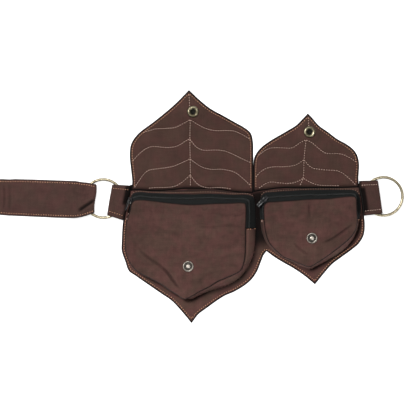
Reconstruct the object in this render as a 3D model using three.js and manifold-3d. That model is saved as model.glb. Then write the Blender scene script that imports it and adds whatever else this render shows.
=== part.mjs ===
// A cloth waist belt with two leaf-shaped zip pockets, laid open on its back.
// Millimetres, +Z up. X runs along the belt, +Y points to the tips of the open flaps.
// The measures below start from the valley between the two flaps, at the belt's middle line.

import * as THREE from 'three';
import { mergeVertices } from 'three/addons/utils/BufferGeometryUtils.js';
import Module from 'manifold-3d';

const wasm = await Module();
wasm.setup();

// Clearances
const gap = 0.3;
const ringPlay = 0.6;
const valleyGap = 0.8;

// Cloth
const backingThickness = 2;
const flapThickness = 2.2;
const frontThickness = 1.8;
const wallThickness = 1.8;
const tapeThickness = 1.1;
const tabThickness = 1.5;
const strapThickness = 1.6;

// Belt line, measured from the middle line
const backingTop = 10;
const pocketTop = -2.3;

// Two pockets, from the left
const largePocket = {
  name: 'large',
  side: -1,
  halfWidth: 69,
  height: 115,
  seamHeight: 13,
  crown: 6.5,
  flapOverhang: 1.6,
  flapHeight: 114,
  flapShift: 0,
  leafMargin: 12,
  tipMargin: 26,
};
const smallPocket = {
  name: 'small',
  side: 1,
  halfWidth: 57.5,
  height: 80.5,
  seamHeight: 12,
  crown: 5.5,
  flapOverhang: 3.2,
  flapHeight: 87,
  flapShift: -4.5,
  leafMargin: 4.8,
  tipMargin: 16,
};
const wallTurn = THREE.MathUtils.degToRad(75);
const wallBulge = 1.5;

// Rings, tabs and strap
const ringWire = 3.2;
const tabWidth = 40;
const ringBore = tabWidth + ringPlay;
const leftTab = { inset: 7.2, slant: 3, room: 3.6, foldY: -0.6, endY: -5.6, lean: 0 };
const rightTab = { inset: 3.6, slant: 2.7, room: 0.9, foldY: 1.9, endY: -0.3, lean: 2.3 };
const strapLength = 118;
const strapWidth = 42;
const strapInset = 8.8;
const strapSkew = 1;
const strapHem = 45;
const strapRidge = 1;
const strapStep = 7;
const ringCover = 2;
const strapFall = 0.3;
const hemFall = 0.2;
const tuck = { start: -0.35, drift: -0.03, half: 0.2, end: 28, fade: 14 };

// Snap fasteners
const snapPost = 2.4;
const holePlay = 0.4;
const snapHole = snapPost + holePlay;
const socketRadius = 6.8;
const socketHeight = 2.3;
const socketEye = 2.2;
const socketSkirt = 0.7;
const eyeDepth = 1;
const capRadius = 6.2;
const capThickness = 1.4;
const capChamfer = 0.5;
const capPlay = 0.1;
const studRadius = 6.2;
const studHeight = 2;
const knobRadius = 2.5;
const knobHeight = 3.4;
const studSkirt = 0.6;
const flangeThickness = 1;
const flangeShare = 0.8;
const snapRaise = capThickness + gap + capPlay;
const flapLand = 1.5;
const flapSlope = 2.6;
const frontLand = 1;

// Zip
const coilWidth = 1.9;
const coilHeight = 1.5;
const chainShare = 0.68;
const tapeEdgeShare = 0.05;
const sliderLength = 7.4;
const sliderWidth = 5.4;
const sliderPlate = 1.2;
const sliderLift = 0.7;
const noseShare = 0.7;
const neckShare = 0.3;
const bridgeWidth = 1.6;
const bridgeHeight = 2.7;
const bridgeBar = 0.8;
const bridgeFoot = 1;
const bridgeReach = 3.3;
const bridgeSink = 0.1;
const bridgeChamfer = 0.4;
const pullBar = 1.1;
const pullAxisHeight = 1;
const pullEye = 4.2;
const pullArm = 0.9;
const pullPlay = 0.5;
const pullLength = 12;
const pullWidth = 5;
const pullTaper = 1;
const pullChamfer = 0.6;

// Grid counts
const panelColumns = 42;
const flapStep = 9.5;
const leafStep = 9;
const snapSides = 16;
const foldSteps = 6;

// Flap edges: across in half widths of the flap, up in heights of the flap
largePocket.flapEdge = [
  [[-0.91, 0], [-0.95, 0.14], [-1, 0.34], [-0.98, 0.45], [-0.88, 0.55], [-0.58, 0.7], [-0.28, 0.85], [-0.04, 1]],
  [[-0.04, 1], [0.14, 0.89], [0.315, 0.805], [0.52, 0.74], [0.72, 0.67], [0.85, 0.625], [0.95, 0.565], [1, 0.42],
    [0.99, 0.2], [0.965, 0]],
  [[0.965, 0], [0, 0], [-0.91, 0]],
];
largePocket.flapSnap = [0.025, 0.778];
smallPocket.flapEdge = [
  [[-0.99, 0], [-1, 0.26], [-0.98, 0.41], [-0.93, 0.49], [-0.83, 0.565], [-0.68, 0.64], [-0.35, 0.77],
    [-0.19, 0.84], [-0.06, 0.93], [0.035, 1]],
  [[0.035, 1], [0.13, 0.945], [0.24, 0.845], [0.42, 0.755], [0.585, 0.665], [0.78, 0.59], [0.9, 0.52],
    [0.97, 0.445], [1, 0.34], [0.995, 0.24], [0.96, 0.12], [0.92, 0]],
  [[0.92, 0], [0, 0], [-0.99, 0]],
];
smallPocket.flapSnap = [0.055, 0.752];

// Leaf edges of the backing: across in half widths of the leaf, down in heights of the leaf
largePocket.leafEdge = [
  [[-0.87, 0], [-0.91, 0.1], [-0.965, 0.235], [-0.985, 0.4], [-0.985, 0.46], [-0.935, 0.54], [-0.885, 0.61],
    [-0.795, 0.645], [-0.59, 0.72], [-0.425, 0.78], [-0.275, 0.835], [-0.1, 0.935], [0, 1]],
  [[0, 1], [0.095, 0.935], [0.195, 0.895], [0.455, 0.8], [0.605, 0.765], [0.76, 0.715], [0.855, 0.67],
    [0.93, 0.61], [0.975, 0.55], [1.015, 0.495]],
];
smallPocket.leafEdge = [
  [[-0.815, 0.645], [-0.665, 0.71], [-0.48, 0.775], [-0.31, 0.83], [-0.115, 0.905], [0.015, 0.965], [0.085, 1]],
  [[0.085, 1], [0.155, 0.95], [0.255, 0.88], [0.395, 0.79], [0.58, 0.71], [0.76, 0.635], [0.89, 0.57],
    [0.98, 0.48], [1, 0.375], [0.985, 0.27], [0.955, 0.115], [0.915, 0]],
];

// Pocket walls, round each pocket from the zip's left end: the foot on the backing and the
// seam of the front, across in half widths, down in heights of the pocket; hem is the
// share of the wall that the brown strip above the zip takes
const wallColumns = ['footAcross', 'footDown', 'seamAcross', 'seamDown', 'hem'];
largePocket.wall = table(wallColumns, [
  [-1.05, 0.135, -1.045, 0.155, 0],
  [-1.085, 0.24, -1.08, 0.24, 0],
  [-1.09, 0.36, -1.095, 0.36, 0],
  [-1.075, 0.47, -1.095, 0.48, 0],
  [-1.025, 0.57, -1.06, 0.58, 0],
  [-0.93, 0.65, -0.985, 0.655, 0],
  [-0.84, 0.7, -0.9, 0.71, 0],
  [-0.65, 0.77, -0.68, 0.78, 0],
  [-0.465, 0.835, -0.51, 0.835, 0],
  [-0.315, 0.89, -0.38, 0.89, 0],
  [-0.165, 0.945, -0.245, 0.94, 0],
  [-0.015, 0.99, -0.125, 0.985, 0],
  [0.125, 0.955, 0, 0.96, 0],
  [0.275, 0.915, 0.125, 0.915, 0],
  [0.46, 0.88, 0.275, 0.87, 0],
  [0.64, 0.84, 0.44, 0.81, 0],
  [0.825, 0.765, 0.675, 0.75, 0],
  [0.94, 0.67, 0.81, 0.705, 0],
  [1.025, 0.56, 0.88, 0.6, 0],
  [1.065, 0.4, 0.9, 0.42, 0],
  [1.075, 0.285, 0.9, 0.285, 0],
  [1.075, 0.16, 0.905, 0.16, 0],
  [1.07, 0.05, 0.895, 0.08, 0],
  [1.045, -0.035, 0.875, 0.045, 0.12],
  [0.97, -0.085, 0.815, 0.03, 0.35],
  [0.675, -0.1, 0.64, 0.03, 0.5],
  [0.34, -0.1, 0.34, 0.035, 0.5],
  [0, -0.1, 0.01, 0.045, 0.5],
  [-0.36, -0.1, -0.34, 0.03, 0.5],
  [-0.675, -0.095, -0.675, 0.01, 0.5],
  [-0.88, -0.09, -0.86, 0.01, 0.45],
  [-0.98, -0.07, -0.945, 0.025, 0.3],
  [-1.015, -0.025, -0.99, 0.055, 0.12],
  [-1.035, 0.05, -1.015, 0.1, 0],
]);
largePocket.zipStart = 20;
largePocket.sliderStation = 31.9;
largePocket.frontSnap = [-0.05, 0.656];
smallPocket.wall = table(wallColumns, [
  [-1.01, 0.28, -0.92, 0.295, 0],
  [-0.99, 0.39, -0.91, 0.415, 0],
  [-0.945, 0.51, -0.885, 0.525, 0],
  [-0.875, 0.62, -0.825, 0.62, 0],
  [-0.75, 0.72, -0.73, 0.7, 0],
  [-0.57, 0.815, -0.575, 0.8, 0],
  [-0.385, 0.885, -0.385, 0.86, 0],
  [-0.205, 0.945, -0.2, 0.915, 0],
  [-0.02, 0.985, -0.03, 0.95, 0],
  [0.16, 0.93, 0.125, 0.895, 0],
  [0.355, 0.855, 0.305, 0.81, 0],
  [0.55, 0.77, 0.49, 0.71, 0],
  [0.725, 0.67, 0.67, 0.61, 0],
  [0.86, 0.545, 0.805, 0.52, 0],
  [0.94, 0.41, 0.895, 0.415, 0],
  [0.98, 0.28, 0.925, 0.28, 0],
  [1.015, 0.165, 0.93, 0.17, 0],
  [1.015, 0.055, 0.935, 0.08, 0],
  [0.995, -0.055, 0.915, 0, 0.12],
  [0.905, -0.14, 0.845, -0.03, 0.4],
  [0.655, -0.155, 0.615, -0.025, 0.5],
  [0.315, -0.16, 0.315, -0.005, 0.5],
  [-0.025, -0.155, -0.025, 0, 0.5],
  [-0.365, -0.145, -0.365, 0.015, 0.5],
  [-0.685, -0.14, -0.665, 0.025, 0.45],
  [-0.93, -0.11, -0.835, 0.045, 0.3],
  [-1, -0.035, -0.895, 0.085, 0.12],
  [-1.02, 0.1, -0.92, 0.18, 0],
]);
smallPocket.zipStart = 15;
smallPocket.sliderStation = 25.4;
smallPocket.frontSnap = [0.008, 0.54];

// Dents in the fronts: both ends across and down as in the walls, width in half widths, depth in crowns
const dentColumns = ['fromAcross', 'fromDown', 'toAcross', 'toDown', 'width', 'depth'];
largePocket.dents = table(dentColumns, [
  [-0.92, 0.44, -0.68, 0.59, 0.07, 0.22],
  [-0.68, 0.59, -0.37, 0.73, 0.07, 0.3],
  [-0.37, 0.73, -0.2, 0.87, 0.06, 0.2],
  [0.15, 0.25, 0.8, 0.27, 0.1, 0.12],
  [-0.75, 0.3, -0.3, 0.42, 0.12, 0.12],
]);
smallPocket.dents = table(dentColumns, [
  [0.85, 0.33, 0.21, 0.62, 0.07, 0.28],
  [-0.37, 0.6, -0.03, 0.79, 0.06, 0.22],
  [-0.03, 0.04, -0.02, 0.26, 0.07, 0.2],
]);

// Strap edges from the fold: back in strap lengths, spread from the fold's width to the full width
const strapEdges = table(['back', 'upper', 'lower'], [
  [0, 0, 0],
  [0.03, 0.1, 0.3],
  [0.08, 0.4, 0.75],
  [0.14, 0.55, 1.15],
  [0.2, 0.8, 1.35],
  [0.4, 1, 1.2],
  [0.62, 1.2, 0.95],
  [0.8, 1.3, 0.75],
  [0.83, 1.05, 0.72],
  [0.92, 1.3, 0.55],
  [1, 1.25, 0.45],
]);

const cloth = { color: 0x553c34, roughness: 0.95, metalness: 0 };
const zipTape = { color: 0x262c2c, roughness: 0.85, metalness: 0 };
const brass = { color: 0xc3b482, roughness: 0.35, metalness: 1 };
const darkBrass = { color: 0x968c64, roughness: 0.45, metalness: 1 };
const pewter = { color: 0xaaa596, roughness: 0.4, metalness: 1 };
const blackMetal = { color: 0x1e1e20, roughness: 0.4, metalness: 0.8 };

// Rows of numbers become rows with named columns.
function table(columns, rows) {
  return rows.map((row) => Object.fromEntries(columns.map((column, i) => [column, row[i]])));
}

// A value read between the rows of a table.
function between(rows, key, column, at) {
  const next = Math.max(1, rows.findIndex((row) => row[key] >= at));
  const last = next < 1 || next >= rows.length ? rows.length - 1 : next;
  const a = rows[last - 1];
  const b = rows[last];
  const share = THREE.MathUtils.clamp((at - a[key]) / (b[key] - a[key]), 0, 1);
  return a[column] + (b[column] - a[column]) * share;
}

function mesh(name, geometry, finish) {
  const material = new THREE.MeshStandardMaterial(finish);
  const piece = new THREE.Mesh(geometry, material);
  piece.name = name;
  return piece;
}

// Turns a geometry's faces outwards.
function facingOut(geometry) {
  const place = geometry.attributes.position;
  const order = geometry.index.array;
  const corner = [new THREE.Vector3(), new THREE.Vector3(), new THREE.Vector3()];
  let volume = 0;
  for (let i = 0; i < order.length; i += 3) {
    corner.forEach((point, k) => point.fromBufferAttribute(place, order[i + k]));
    volume += corner[0].dot(corner[1].clone().cross(corner[2]));
  }
  if (volume < 0) {
    for (let i = 0; i < order.length; i += 3) {
      [order[i], order[i + 1]] = [order[i + 1], order[i]];
    }
  }
  return geometry;
}

// A sheet with a thickness: a grid of face points, a grid of back points and the edges between
// them. A closed sheet runs round, with a hole at its first row and a rim at its last.
function sheet(rows, columns, closed, facePoint, backPoint) {
  const places = [];
  for (const side of [facePoint, backPoint]) {
    for (let r = 0; r < rows; r += 1) {
      for (let c = 0; c < columns; c += 1) places.push(...side(r, c).toArray());
    }
  }
  const at = (side, r, c) => (side * rows + r) * columns + (c % columns);
  const order = [];
  const quad = (a, b, c, d) => order.push(a, b, c, a, c, d);
  const spans = closed ? columns : columns - 1;
  for (let c = 0; c < spans; c += 1) {
    for (let r = 0; r < rows - 1; r += 1) {
      quad(at(0, r, c), at(0, r, c + 1), at(0, r + 1, c + 1), at(0, r + 1, c));
      quad(at(1, r, c), at(1, r + 1, c), at(1, r + 1, c + 1), at(1, r, c + 1));
    }
    const end = rows - 1;
    quad(at(0, 0, c + 1), at(0, 0, c), at(1, 0, c), at(1, 0, c + 1));
    quad(at(0, end, c), at(0, end, c + 1), at(1, end, c + 1), at(1, end, c));
  }
  if (!closed) {
    const end = columns - 1;
    for (let r = 0; r < rows - 1; r += 1) {
      quad(at(0, r, 0), at(0, r + 1, 0), at(1, r + 1, 0), at(1, r, 0));
      quad(at(0, r + 1, end), at(0, r, end), at(1, r, end), at(1, r + 1, end));
    }
  }
  const geometry = new THREE.BufferGeometry();
  geometry.setAttribute('position', new THREE.BufferAttribute(new Float32Array(places), 3));
  geometry.setIndex(order);
  return facingOut(geometry);
}

// Samples stretches of an edge, each a smooth line between two corners.
function smoothEdge(stretches, place, step) {
  const points = [];
  for (const stretch of stretches) {
    const curve = new THREE.SplineCurve(stretch.map(([across, along]) => place(across, along)));
    const count = Math.max(1, Math.round(curve.getLength() / step));
    points.push(...curve.getSpacedPoints(count).slice(0, count));
  }
  return points;
}

// Centre of a pocket, its flap and its leaf along the belt.
function pocketX(pocket) {
  return pocket.side * (valleyGap / 2 + flapHalf(pocket)) - pocket.flapShift;
}

function flapHalf(pocket) {
  return pocket.halfWidth + pocket.flapOverhang;
}

function flapPlace(pocket, across, up) {
  const x = pocketX(pocket) + pocket.flapShift + across * flapHalf(pocket);
  return new THREE.Vector2(x, backingTop + gap + up * pocket.flapHeight);
}

function leafPlace(pocket, across, down) {
  const leafHeight = backingTop - pocketTop + pocket.height + pocket.tipMargin;
  const x = pocketX(pocket) + across * (pocket.halfWidth + pocket.leafMargin);
  return new THREE.Vector2(x, backingTop - down * leafHeight);
}

function pocketPlace(pocket, across, down) {
  return new THREE.Vector2(pocketX(pocket) + across * pocket.halfWidth, pocketTop - down * pocket.height);
}

// The backing is one panel cut as two overlapping leaves with their tips down.
function leafOutline(step) {
  const place = (pocket) => (across, down) => leafPlace(pocket, across, down);
  const large = smoothEdge(largePocket.leafEdge, place(largePocket), step);
  const small = smoothEdge(smallPocket.leafEdge, place(smallPocket), step);
  const notch = leafPlace(largePocket, ...largePocket.leafEdge[1].at(-1));
  const end = leafPlace(smallPocket, ...smallPocket.leafEdge[1].at(-1));
  return [...large, notch, ...small, end];
}

function makeBacking() {
  const shape = new THREE.Shape(leafOutline(leafStep));
  const geometry = new THREE.ExtrudeGeometry(shape, { depth: backingThickness, bevelEnabled: false });
  return mesh('backing', geometry, cloth);
}

// Where the backing's outline crosses a height, on its left or right side.
function backingSide(side, y) {
  const outline = leafOutline(4);
  const crossings = [];
  outline.forEach((a, i) => {
    const b = outline[(i + 1) % outline.length];
    if ((a.y - y) * (b.y - y) < 0) crossings.push(a.x + (b.x - a.x) * ((y - a.y) / (b.y - a.y)));
  });
  return side < 0 ? Math.min(...crossings) : Math.max(...crossings);
}

// A flap is a leaf with rings of points round its snap, raised there over the snap's back cap.
function makeFlap(pocket) {
  const edge = smoothEdge(pocket.flapEdge, (across, up) => flapPlace(pocket, across, up), flapStep);
  const snap = flapPlace(pocket, ...pocket.flapSnap);
  const slope = flapSlope * capRadius;
  const rings = [
    { reach: snapHole, most: 0.3, share: 0 },
    { reach: capRadius + flapLand, most: 0.5, share: 0 },
    { reach: slope, most: 0.7, share: 0 },
    { reach: slope, most: 0.9, share: 0.5 },
    { reach: slope, most: 1, share: 1 },
  ];
  const spot = (r, c) => {
    const out = edge[c].clone().sub(snap);
    const reach = Math.min(rings[r].reach, rings[r].most * out.length());
    const start = rings[r].share === 1 ? 0 : reach * (1 - rings[r].share);
    return snap.clone().addScaledVector(out.normalize(), start + rings[r].share * edge[c].distanceTo(snap));
  };
  const raise = (r) => (r < 2 ? snapRaise : 0);
  const face = (r, c) => new THREE.Vector3(...spot(r, c).toArray(), flapThickness + raise(r));
  const back = (r, c) => new THREE.Vector3(...spot(r, c).toArray(), raise(r));
  return mesh(`${pocket.name}_flap`, sheet(rings.length, edge.length, true, face, back), cloth);
}

// Socket of the flap's snap: a ring with a deep eye, a post through the cloth and a cap behind it.
function makeFlapSnap(pocket) {
  const cloth0 = snapRaise;
  const cloth1 = snapRaise + flapThickness;
  const seat = cloth1 + gap;
  const profile = [
    [0, 0], [capRadius - capChamfer, 0], [capRadius, capChamfer], [capRadius, cloth0 - gap],
    [snapPost, cloth0 - gap], [snapPost, seat], [socketRadius, seat], [socketRadius, seat + socketSkirt],
    [0.85 * socketRadius, seat + socketHeight], [0.6 * socketRadius, seat + socketHeight],
    [socketEye, seat + 0.75 * socketHeight], [socketEye, seat - eyeDepth], [0, seat - eyeDepth],
  ];
  const piece = mesh(`${pocket.name}_flap_snap`, turned(profile), darkBrass);
  piece.position.set(...flapPlace(pocket, ...pocket.flapSnap).toArray(), 0);
  return piece;
}

// A profile of radius and height turned round the Z axis.
function turned(profile) {
  const points = profile.map(([radius, height]) => new THREE.Vector2(radius, height));
  const geometry = new THREE.LatheGeometry(points, snapSides);
  geometry.rotateX(Math.PI / 2);
  geometry.deleteAttribute('normal');
  geometry.deleteAttribute('uv');
  return facingOut(mergeVertices(geometry, 1e-4));
}

// Curves of a pocket's foot and seam, both by station of its wall table.
function wallCurves(pocket) {
  const foot = pocket.wall.map((row) => pocketPlace(pocket, row.footAcross, row.footDown));
  const seam = pocket.wall.map((row) => pocketPlace(pocket, row.seamAcross, row.seamDown));
  const curve = (points) => new THREE.CatmullRomCurve3(points.map((p) => new THREE.Vector3(p.x, p.y, 0)), true);
  return { foot: curve(foot), seam: curve(seam) };
}

function hemShare(pocket, station) {
  const count = pocket.wall.length;
  const whole = Math.floor(station);
  const share = station - whole;
  return pocket.wall[whole % count].hem * (1 - share) + pocket.wall[(whole + 1) % count].hem * share;
}

// A point of the wall's outer side: it stands up from the foot and rolls over to the seam.
function wallPoint(pocket, station, share) {
  const count = pocket.wall.length;
  const { foot, seam } = pocket.curves;
  const at = (station % count) / count;
  const a = foot.getPoint(at);
  const b = seam.getPoint(at);
  const along = foot.getTangent(at);
  const turn = share * wallTurn;
  const across = (1 - Math.cos(turn)) / (1 - Math.cos(wallTurn));
  const rise = Math.sin(turn) / Math.sin(wallTurn);
  const swell = wallBulge * Math.sin(Math.PI * share);
  const low = backingThickness + gap;
  return new THREE.Vector3(
    a.x + (b.x - a.x) * across + along.y * -swell,
    a.y + (b.y - a.y) * across + along.x * swell,
    low + (pocket.seamHeight - low) * rise,
  );
}

function wallNormal(pocket, station, share) {
  const small = 0.02;
  const count = pocket.wall.length;
  const low = Math.max(0, share - small);
  const high = Math.min(1, share + small);
  const along = wallPoint(pocket, station + small, share).sub(wallPoint(pocket, station + count - small, share));
  const up = wallPoint(pocket, station, high).sub(wallPoint(pocket, station, low));
  return along.cross(up).normalize();
}

// A band of the wall between two stations and two edges, each a share of the wall's height.
function wallBand(pocket, from, to, steps, lower, upper, thickness, rows = 2) {
  const low = backingThickness + gap;
  const station = (c) => from + ((to - from) * c) / steps;
  const share = (r, c) => {
    const edge0 = lower(station(c));
    const edge1 = upper(station(c));
    return edge0 + ((edge1 - edge0) * r) / (rows - 1);
  };
  const face = (r, c) => wallPoint(pocket, station(c), share(r, c));
  const back = (r, c) => {
    const normal = wallNormal(pocket, station(c), share(r, c));
    const point = face(r, c).addScaledVector(normal, -thickness);
    point.z = Math.min(Math.max(point.z, low), pocket.seamHeight);
    return point;
  };
  return sheet(rows, steps + 1, false, face, back);
}

// Length of the wall from foot to seam at a station.
function wallLength(pocket, station) {
  const steps = 6;
  let length = 0;
  for (let i = 0; i < steps; i += 1) {
    length += wallPoint(pocket, station, i / steps).distanceTo(wallPoint(pocket, station, (i + 1) / steps));
  }
  return length;
}

// The brown side of the pocket, from one end of the zip round the bottom to the other.
function makeGusset(pocket) {
  const ends = gap / 10;
  const geometry = wallBand(
    pocket, ends, pocket.zipStart - ends, 2 * pocket.zipStart, () => 0, () => 1, wallThickness, 4);
  return mesh(`${pocket.name}_gusset`, geometry, cloth);
}

// The brown strip that carries the zip's back tape along the top.
function makeHem(pocket) {
  const first = pocket.wall.findIndex((row) => row.hem > 0);
  const last = pocket.wall.findLastIndex((row) => row.hem > 0);
  const upper = (station) => hemShare(pocket, station);
  const geometry = wallBand(pocket, first, last, 2 * (last - first), () => 0, upper, wallThickness, 3);
  return mesh(`${pocket.name}_hem`, geometry, cloth);
}

// Two tapes and the coil between them, round the top corners of the pocket.
function makeZip(pocket) {
  const ends = gap / 10;
  const from = pocket.zipStart + ends;
  const to = pocket.wall.length - ends;
  const steps = Math.round(1.6 * (to - from));
  const width = (amount) => (station) => amount / wallLength(pocket, station);
  const coilHalf = width(coilWidth / 2);
  const slit = width(coilWidth / 2 + gap);
  const clear = width(gap);
  const backLower = (s) => Math.max(tapeEdgeShare, hemShare(pocket, s) + clear(s));
  const backUpper = (s) => chainShare - slit(s);
  const frontLower = (s) => chainShare + slit(s);
  const back = wallBand(pocket, from, to, steps, backLower, backUpper, tapeThickness);
  const front = wallBand(pocket, from, to, steps, frontLower, () => 1, tapeThickness);
  const coil = wallCord(pocket, from, to, steps, coilHalf);
  return [
    mesh(`${pocket.name}_zip_back_tape`, back, zipTape),
    mesh(`${pocket.name}_zip_front_tape`, front, zipTape),
    mesh(`${pocket.name}_zip_coil`, coil, zipTape),
  ];
}

// The coil stands proud of the tapes by half its height.
function wallCord(pocket, from, to, steps, half) {
  const station = (c) => from + ((to - from) * c) / steps;
  const share = (r, c) => chainShare + (r - 1) * half(station(c));
  const proud = (r) => (r === 1 ? coilHeight / 2 : coilHeight / 4);
  const point = (r, c, side) => {
    const normal = wallNormal(pocket, station(c), share(r, c));
    return wallPoint(pocket, station(c), share(r, c)).addScaledVector(normal, side * proud(r));
  };
  return sheet(3, steps + 1, false, (r, c) => point(r, c, 1), (r, c) => point(r, c, -1));
}

// Distance from a point to a segment.
function segmentDistance(point, a, b) {
  const line = b.clone().sub(a);
  const share = THREE.MathUtils.clamp(point.clone().sub(a).dot(line) / line.lengthSq(), 0, 1);
  return point.distanceTo(a.clone().addScaledVector(line, share));
}

// Height of the dents of a front at a place.
function dentDepth(pocket, point) {
  let depth = 0;
  for (const dent of pocket.dents) {
    const a = pocketPlace(pocket, dent.fromAcross, dent.fromDown);
    const b = pocketPlace(pocket, dent.toAcross, dent.toDown);
    const away = segmentDistance(point, a, b) / (dent.width * pocket.halfWidth);
    depth += dent.depth * pocket.crown * Math.exp(-away * away);
  }
  return depth;
}

// The domed front panel, in rings of points round its snap.
function makeFront(pocket) {
  const count = pocket.wall.length;
  const snap = pocketPlace(pocket, ...pocket.frontSnap);
  const rings = [0, 0.12, 0.34, 0.58, 0.82, 1];
  const spot = (r, c) => {
    const edge = pocket.curves.seam.getPoint(c / panelColumns);
    const out = new THREE.Vector2(edge.x, edge.y).sub(snap);
    const reach = out.length();
    const land = capRadius + frontLand;
    const away = r === 0 ? snapHole : land + (reach - land) * rings[r];
    return snap.clone().addScaledVector(out.normalize(), r === 1 ? land : away);
  };
  const height = (r, c) => {
    const share = r < 2 ? 0 : rings[r];
    const dome = pocket.crown * (1 - share ** 2.4);
    const fade = r < 2 ? 0 : 1 - share ** 6;
    return pocket.seamHeight + gap + dome - fade * dentDepth(pocket, spot(r, c));
  };
  const face = (r, c) => new THREE.Vector3(...spot(r, c).toArray(), height(r, c) + frontThickness);
  const back = (r, c) => new THREE.Vector3(...spot(r, c).toArray(), height(r, c));
  return mesh(`${pocket.name}_front`, sheet(rings.length, panelColumns, true, face, back), cloth);
}

// Stud of the front's snap: a knob on a flat ring, a post through the cloth and a flange inside.
function makeFrontSnap(pocket) {
  const cloth0 = pocket.seamHeight + gap + pocket.crown;
  const seat = cloth0 + frontThickness + gap;
  const flange = cloth0 - gap;
  const profile = [
    [0, flange - flangeThickness], [flangeShare * studRadius, flange - flangeThickness],
    [flangeShare * studRadius, flange], [snapPost, flange], [snapPost, seat], [studRadius, seat],
    [studRadius, seat + studSkirt], [0.8 * studRadius, seat + 0.5 * studHeight],
    [1.25 * knobRadius, seat + 0.45 * studHeight], [0.9 * knobRadius, seat + 0.5 * knobHeight],
    [knobRadius, seat + 0.8 * knobHeight], [0.7 * knobRadius, seat + knobHeight], [0, seat + knobHeight],
  ];
  const piece = mesh(`${pocket.name}_front_snap`, turned(profile), pewter);
  piece.position.set(...pocketPlace(pocket, ...pocket.frontSnap).toArray(), 0);
  return piece;
}

// Half the width of a band that fits through the ring, folded at a distance from its middle.
function boreChord(inset, thickness) {
  const reach = inset + thickness + gap;
  return Math.sqrt((ringBore / 2) ** 2 - reach ** 2) - gap;
}

function ringLevel() {
  return tabThickness + gap + ringWire / 2;
}

// Where a tab starts at the backing, where its ring lies and where it folds round the ring.
function tabFrame(side, tab) {
  const half = tabWidth / 2;
  const endX = (y) => backingSide(side, Math.min(y, backingTop - gap)) + side * gap;
  const middle = endX(tab.endY);
  const ringX = middle + side * (tab.room + ringBore / 2 + ringWire);
  const inset = (w) => tab.inset + w * tab.slant;
  const fold = (w) => new THREE.Vector2(
    ringX - side * inset(w),
    tab.foldY + w * boreChord(inset(Math.sign(w)), tabThickness),
  );
  const end = (w) => new THREE.Vector2(endX(tab.endY + w * half), tab.endY + w * half);
  return { ringX, fold, end };
}

// A band of cloth folded round a ring: rows across its width, columns along its length. The
// path holds the distance in from the fold's outer edge and the height of the cloth's middle.
function foldedBand(path, rows, thickness, place) {
  const normal = (c) => {
    const a = path[Math.max(0, c - 1)];
    const b = path[Math.min(path.length - 1, c + 1)];
    return new THREE.Vector2(b.y - a.y, a.x - b.x).normalize();
  };
  const point = (r, c, side) => {
    const spot = path[c].clone().addScaledVector(normal(c), (side * thickness) / 2);
    return place(spot.x, spot.y, (2 * r) / (rows - 1) - 1, c);
  };
  return sheet(rows, path.length, false, (r, c) => point(r, c, 1), (r, c) => point(r, c, -1));
}

// The half turn of a folded band, from its upper layer to its lower one.
function foldTurn(thickness, upper, lower) {
  const radius = (upper - lower) / 2;
  const turn = [];
  for (let i = 0; i <= foldSteps; i += 1) {
    const angle = (Math.PI * i) / foldSteps;
    const inward = thickness / 2 + radius * (1 - Math.sin(angle));
    turn.push(new THREE.Vector2(inward, (upper + lower) / 2 + radius * Math.cos(angle)));
  }
  return turn;
}

function makeTab(name, side, tab) {
  const { fold, end } = tabFrame(side, tab);
  const lower = tabThickness / 2;
  const upper = ringLevel() + ringWire / 2 + gap + tabThickness / 2;
  const length = fold(0).distanceTo(end(0));
  const turn = foldTurn(tabThickness, upper, lower);
  const depth = turn[0].x;
  const rise = length * Math.sin(THREE.MathUtils.degToRad(tab.lean));
  const middle = (depth + length) / 2;
  const path = [
    new THREE.Vector2(length, upper + rise),
    new THREE.Vector2(middle, upper + rise / 2),
    ...turn,
    new THREE.Vector2(middle, lower),
    new THREE.Vector2(length, lower),
  ];
  const place = (inward, height, w) => {
    const a = fold(w);
    const b = end(w);
    const share = inward <= depth ? inward : depth + ((inward - depth) * (a.distanceTo(b) - depth)) / (length - depth);
    const spot = a.clone().addScaledVector(b.sub(a).normalize(), share);
    return new THREE.Vector3(spot.x, spot.y, height);
  };
  return mesh(name, foldedBand(path, 3, tabThickness, place), cloth);
}

function makeRing(name, side, tab) {
  const ring = mesh(name, new THREE.TorusGeometry((ringBore + ringWire) / 2, ringWire / 2, 8, 40), brass);
  const lean = THREE.MathUtils.degToRad(tab.lean);
  ring.position.set(tabFrame(side, tab).ringX, tab.foldY, ringLevel() - tab.inset * Math.sin(lean));
  ring.rotation.y = side * lean;
  return ring;
}

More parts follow.
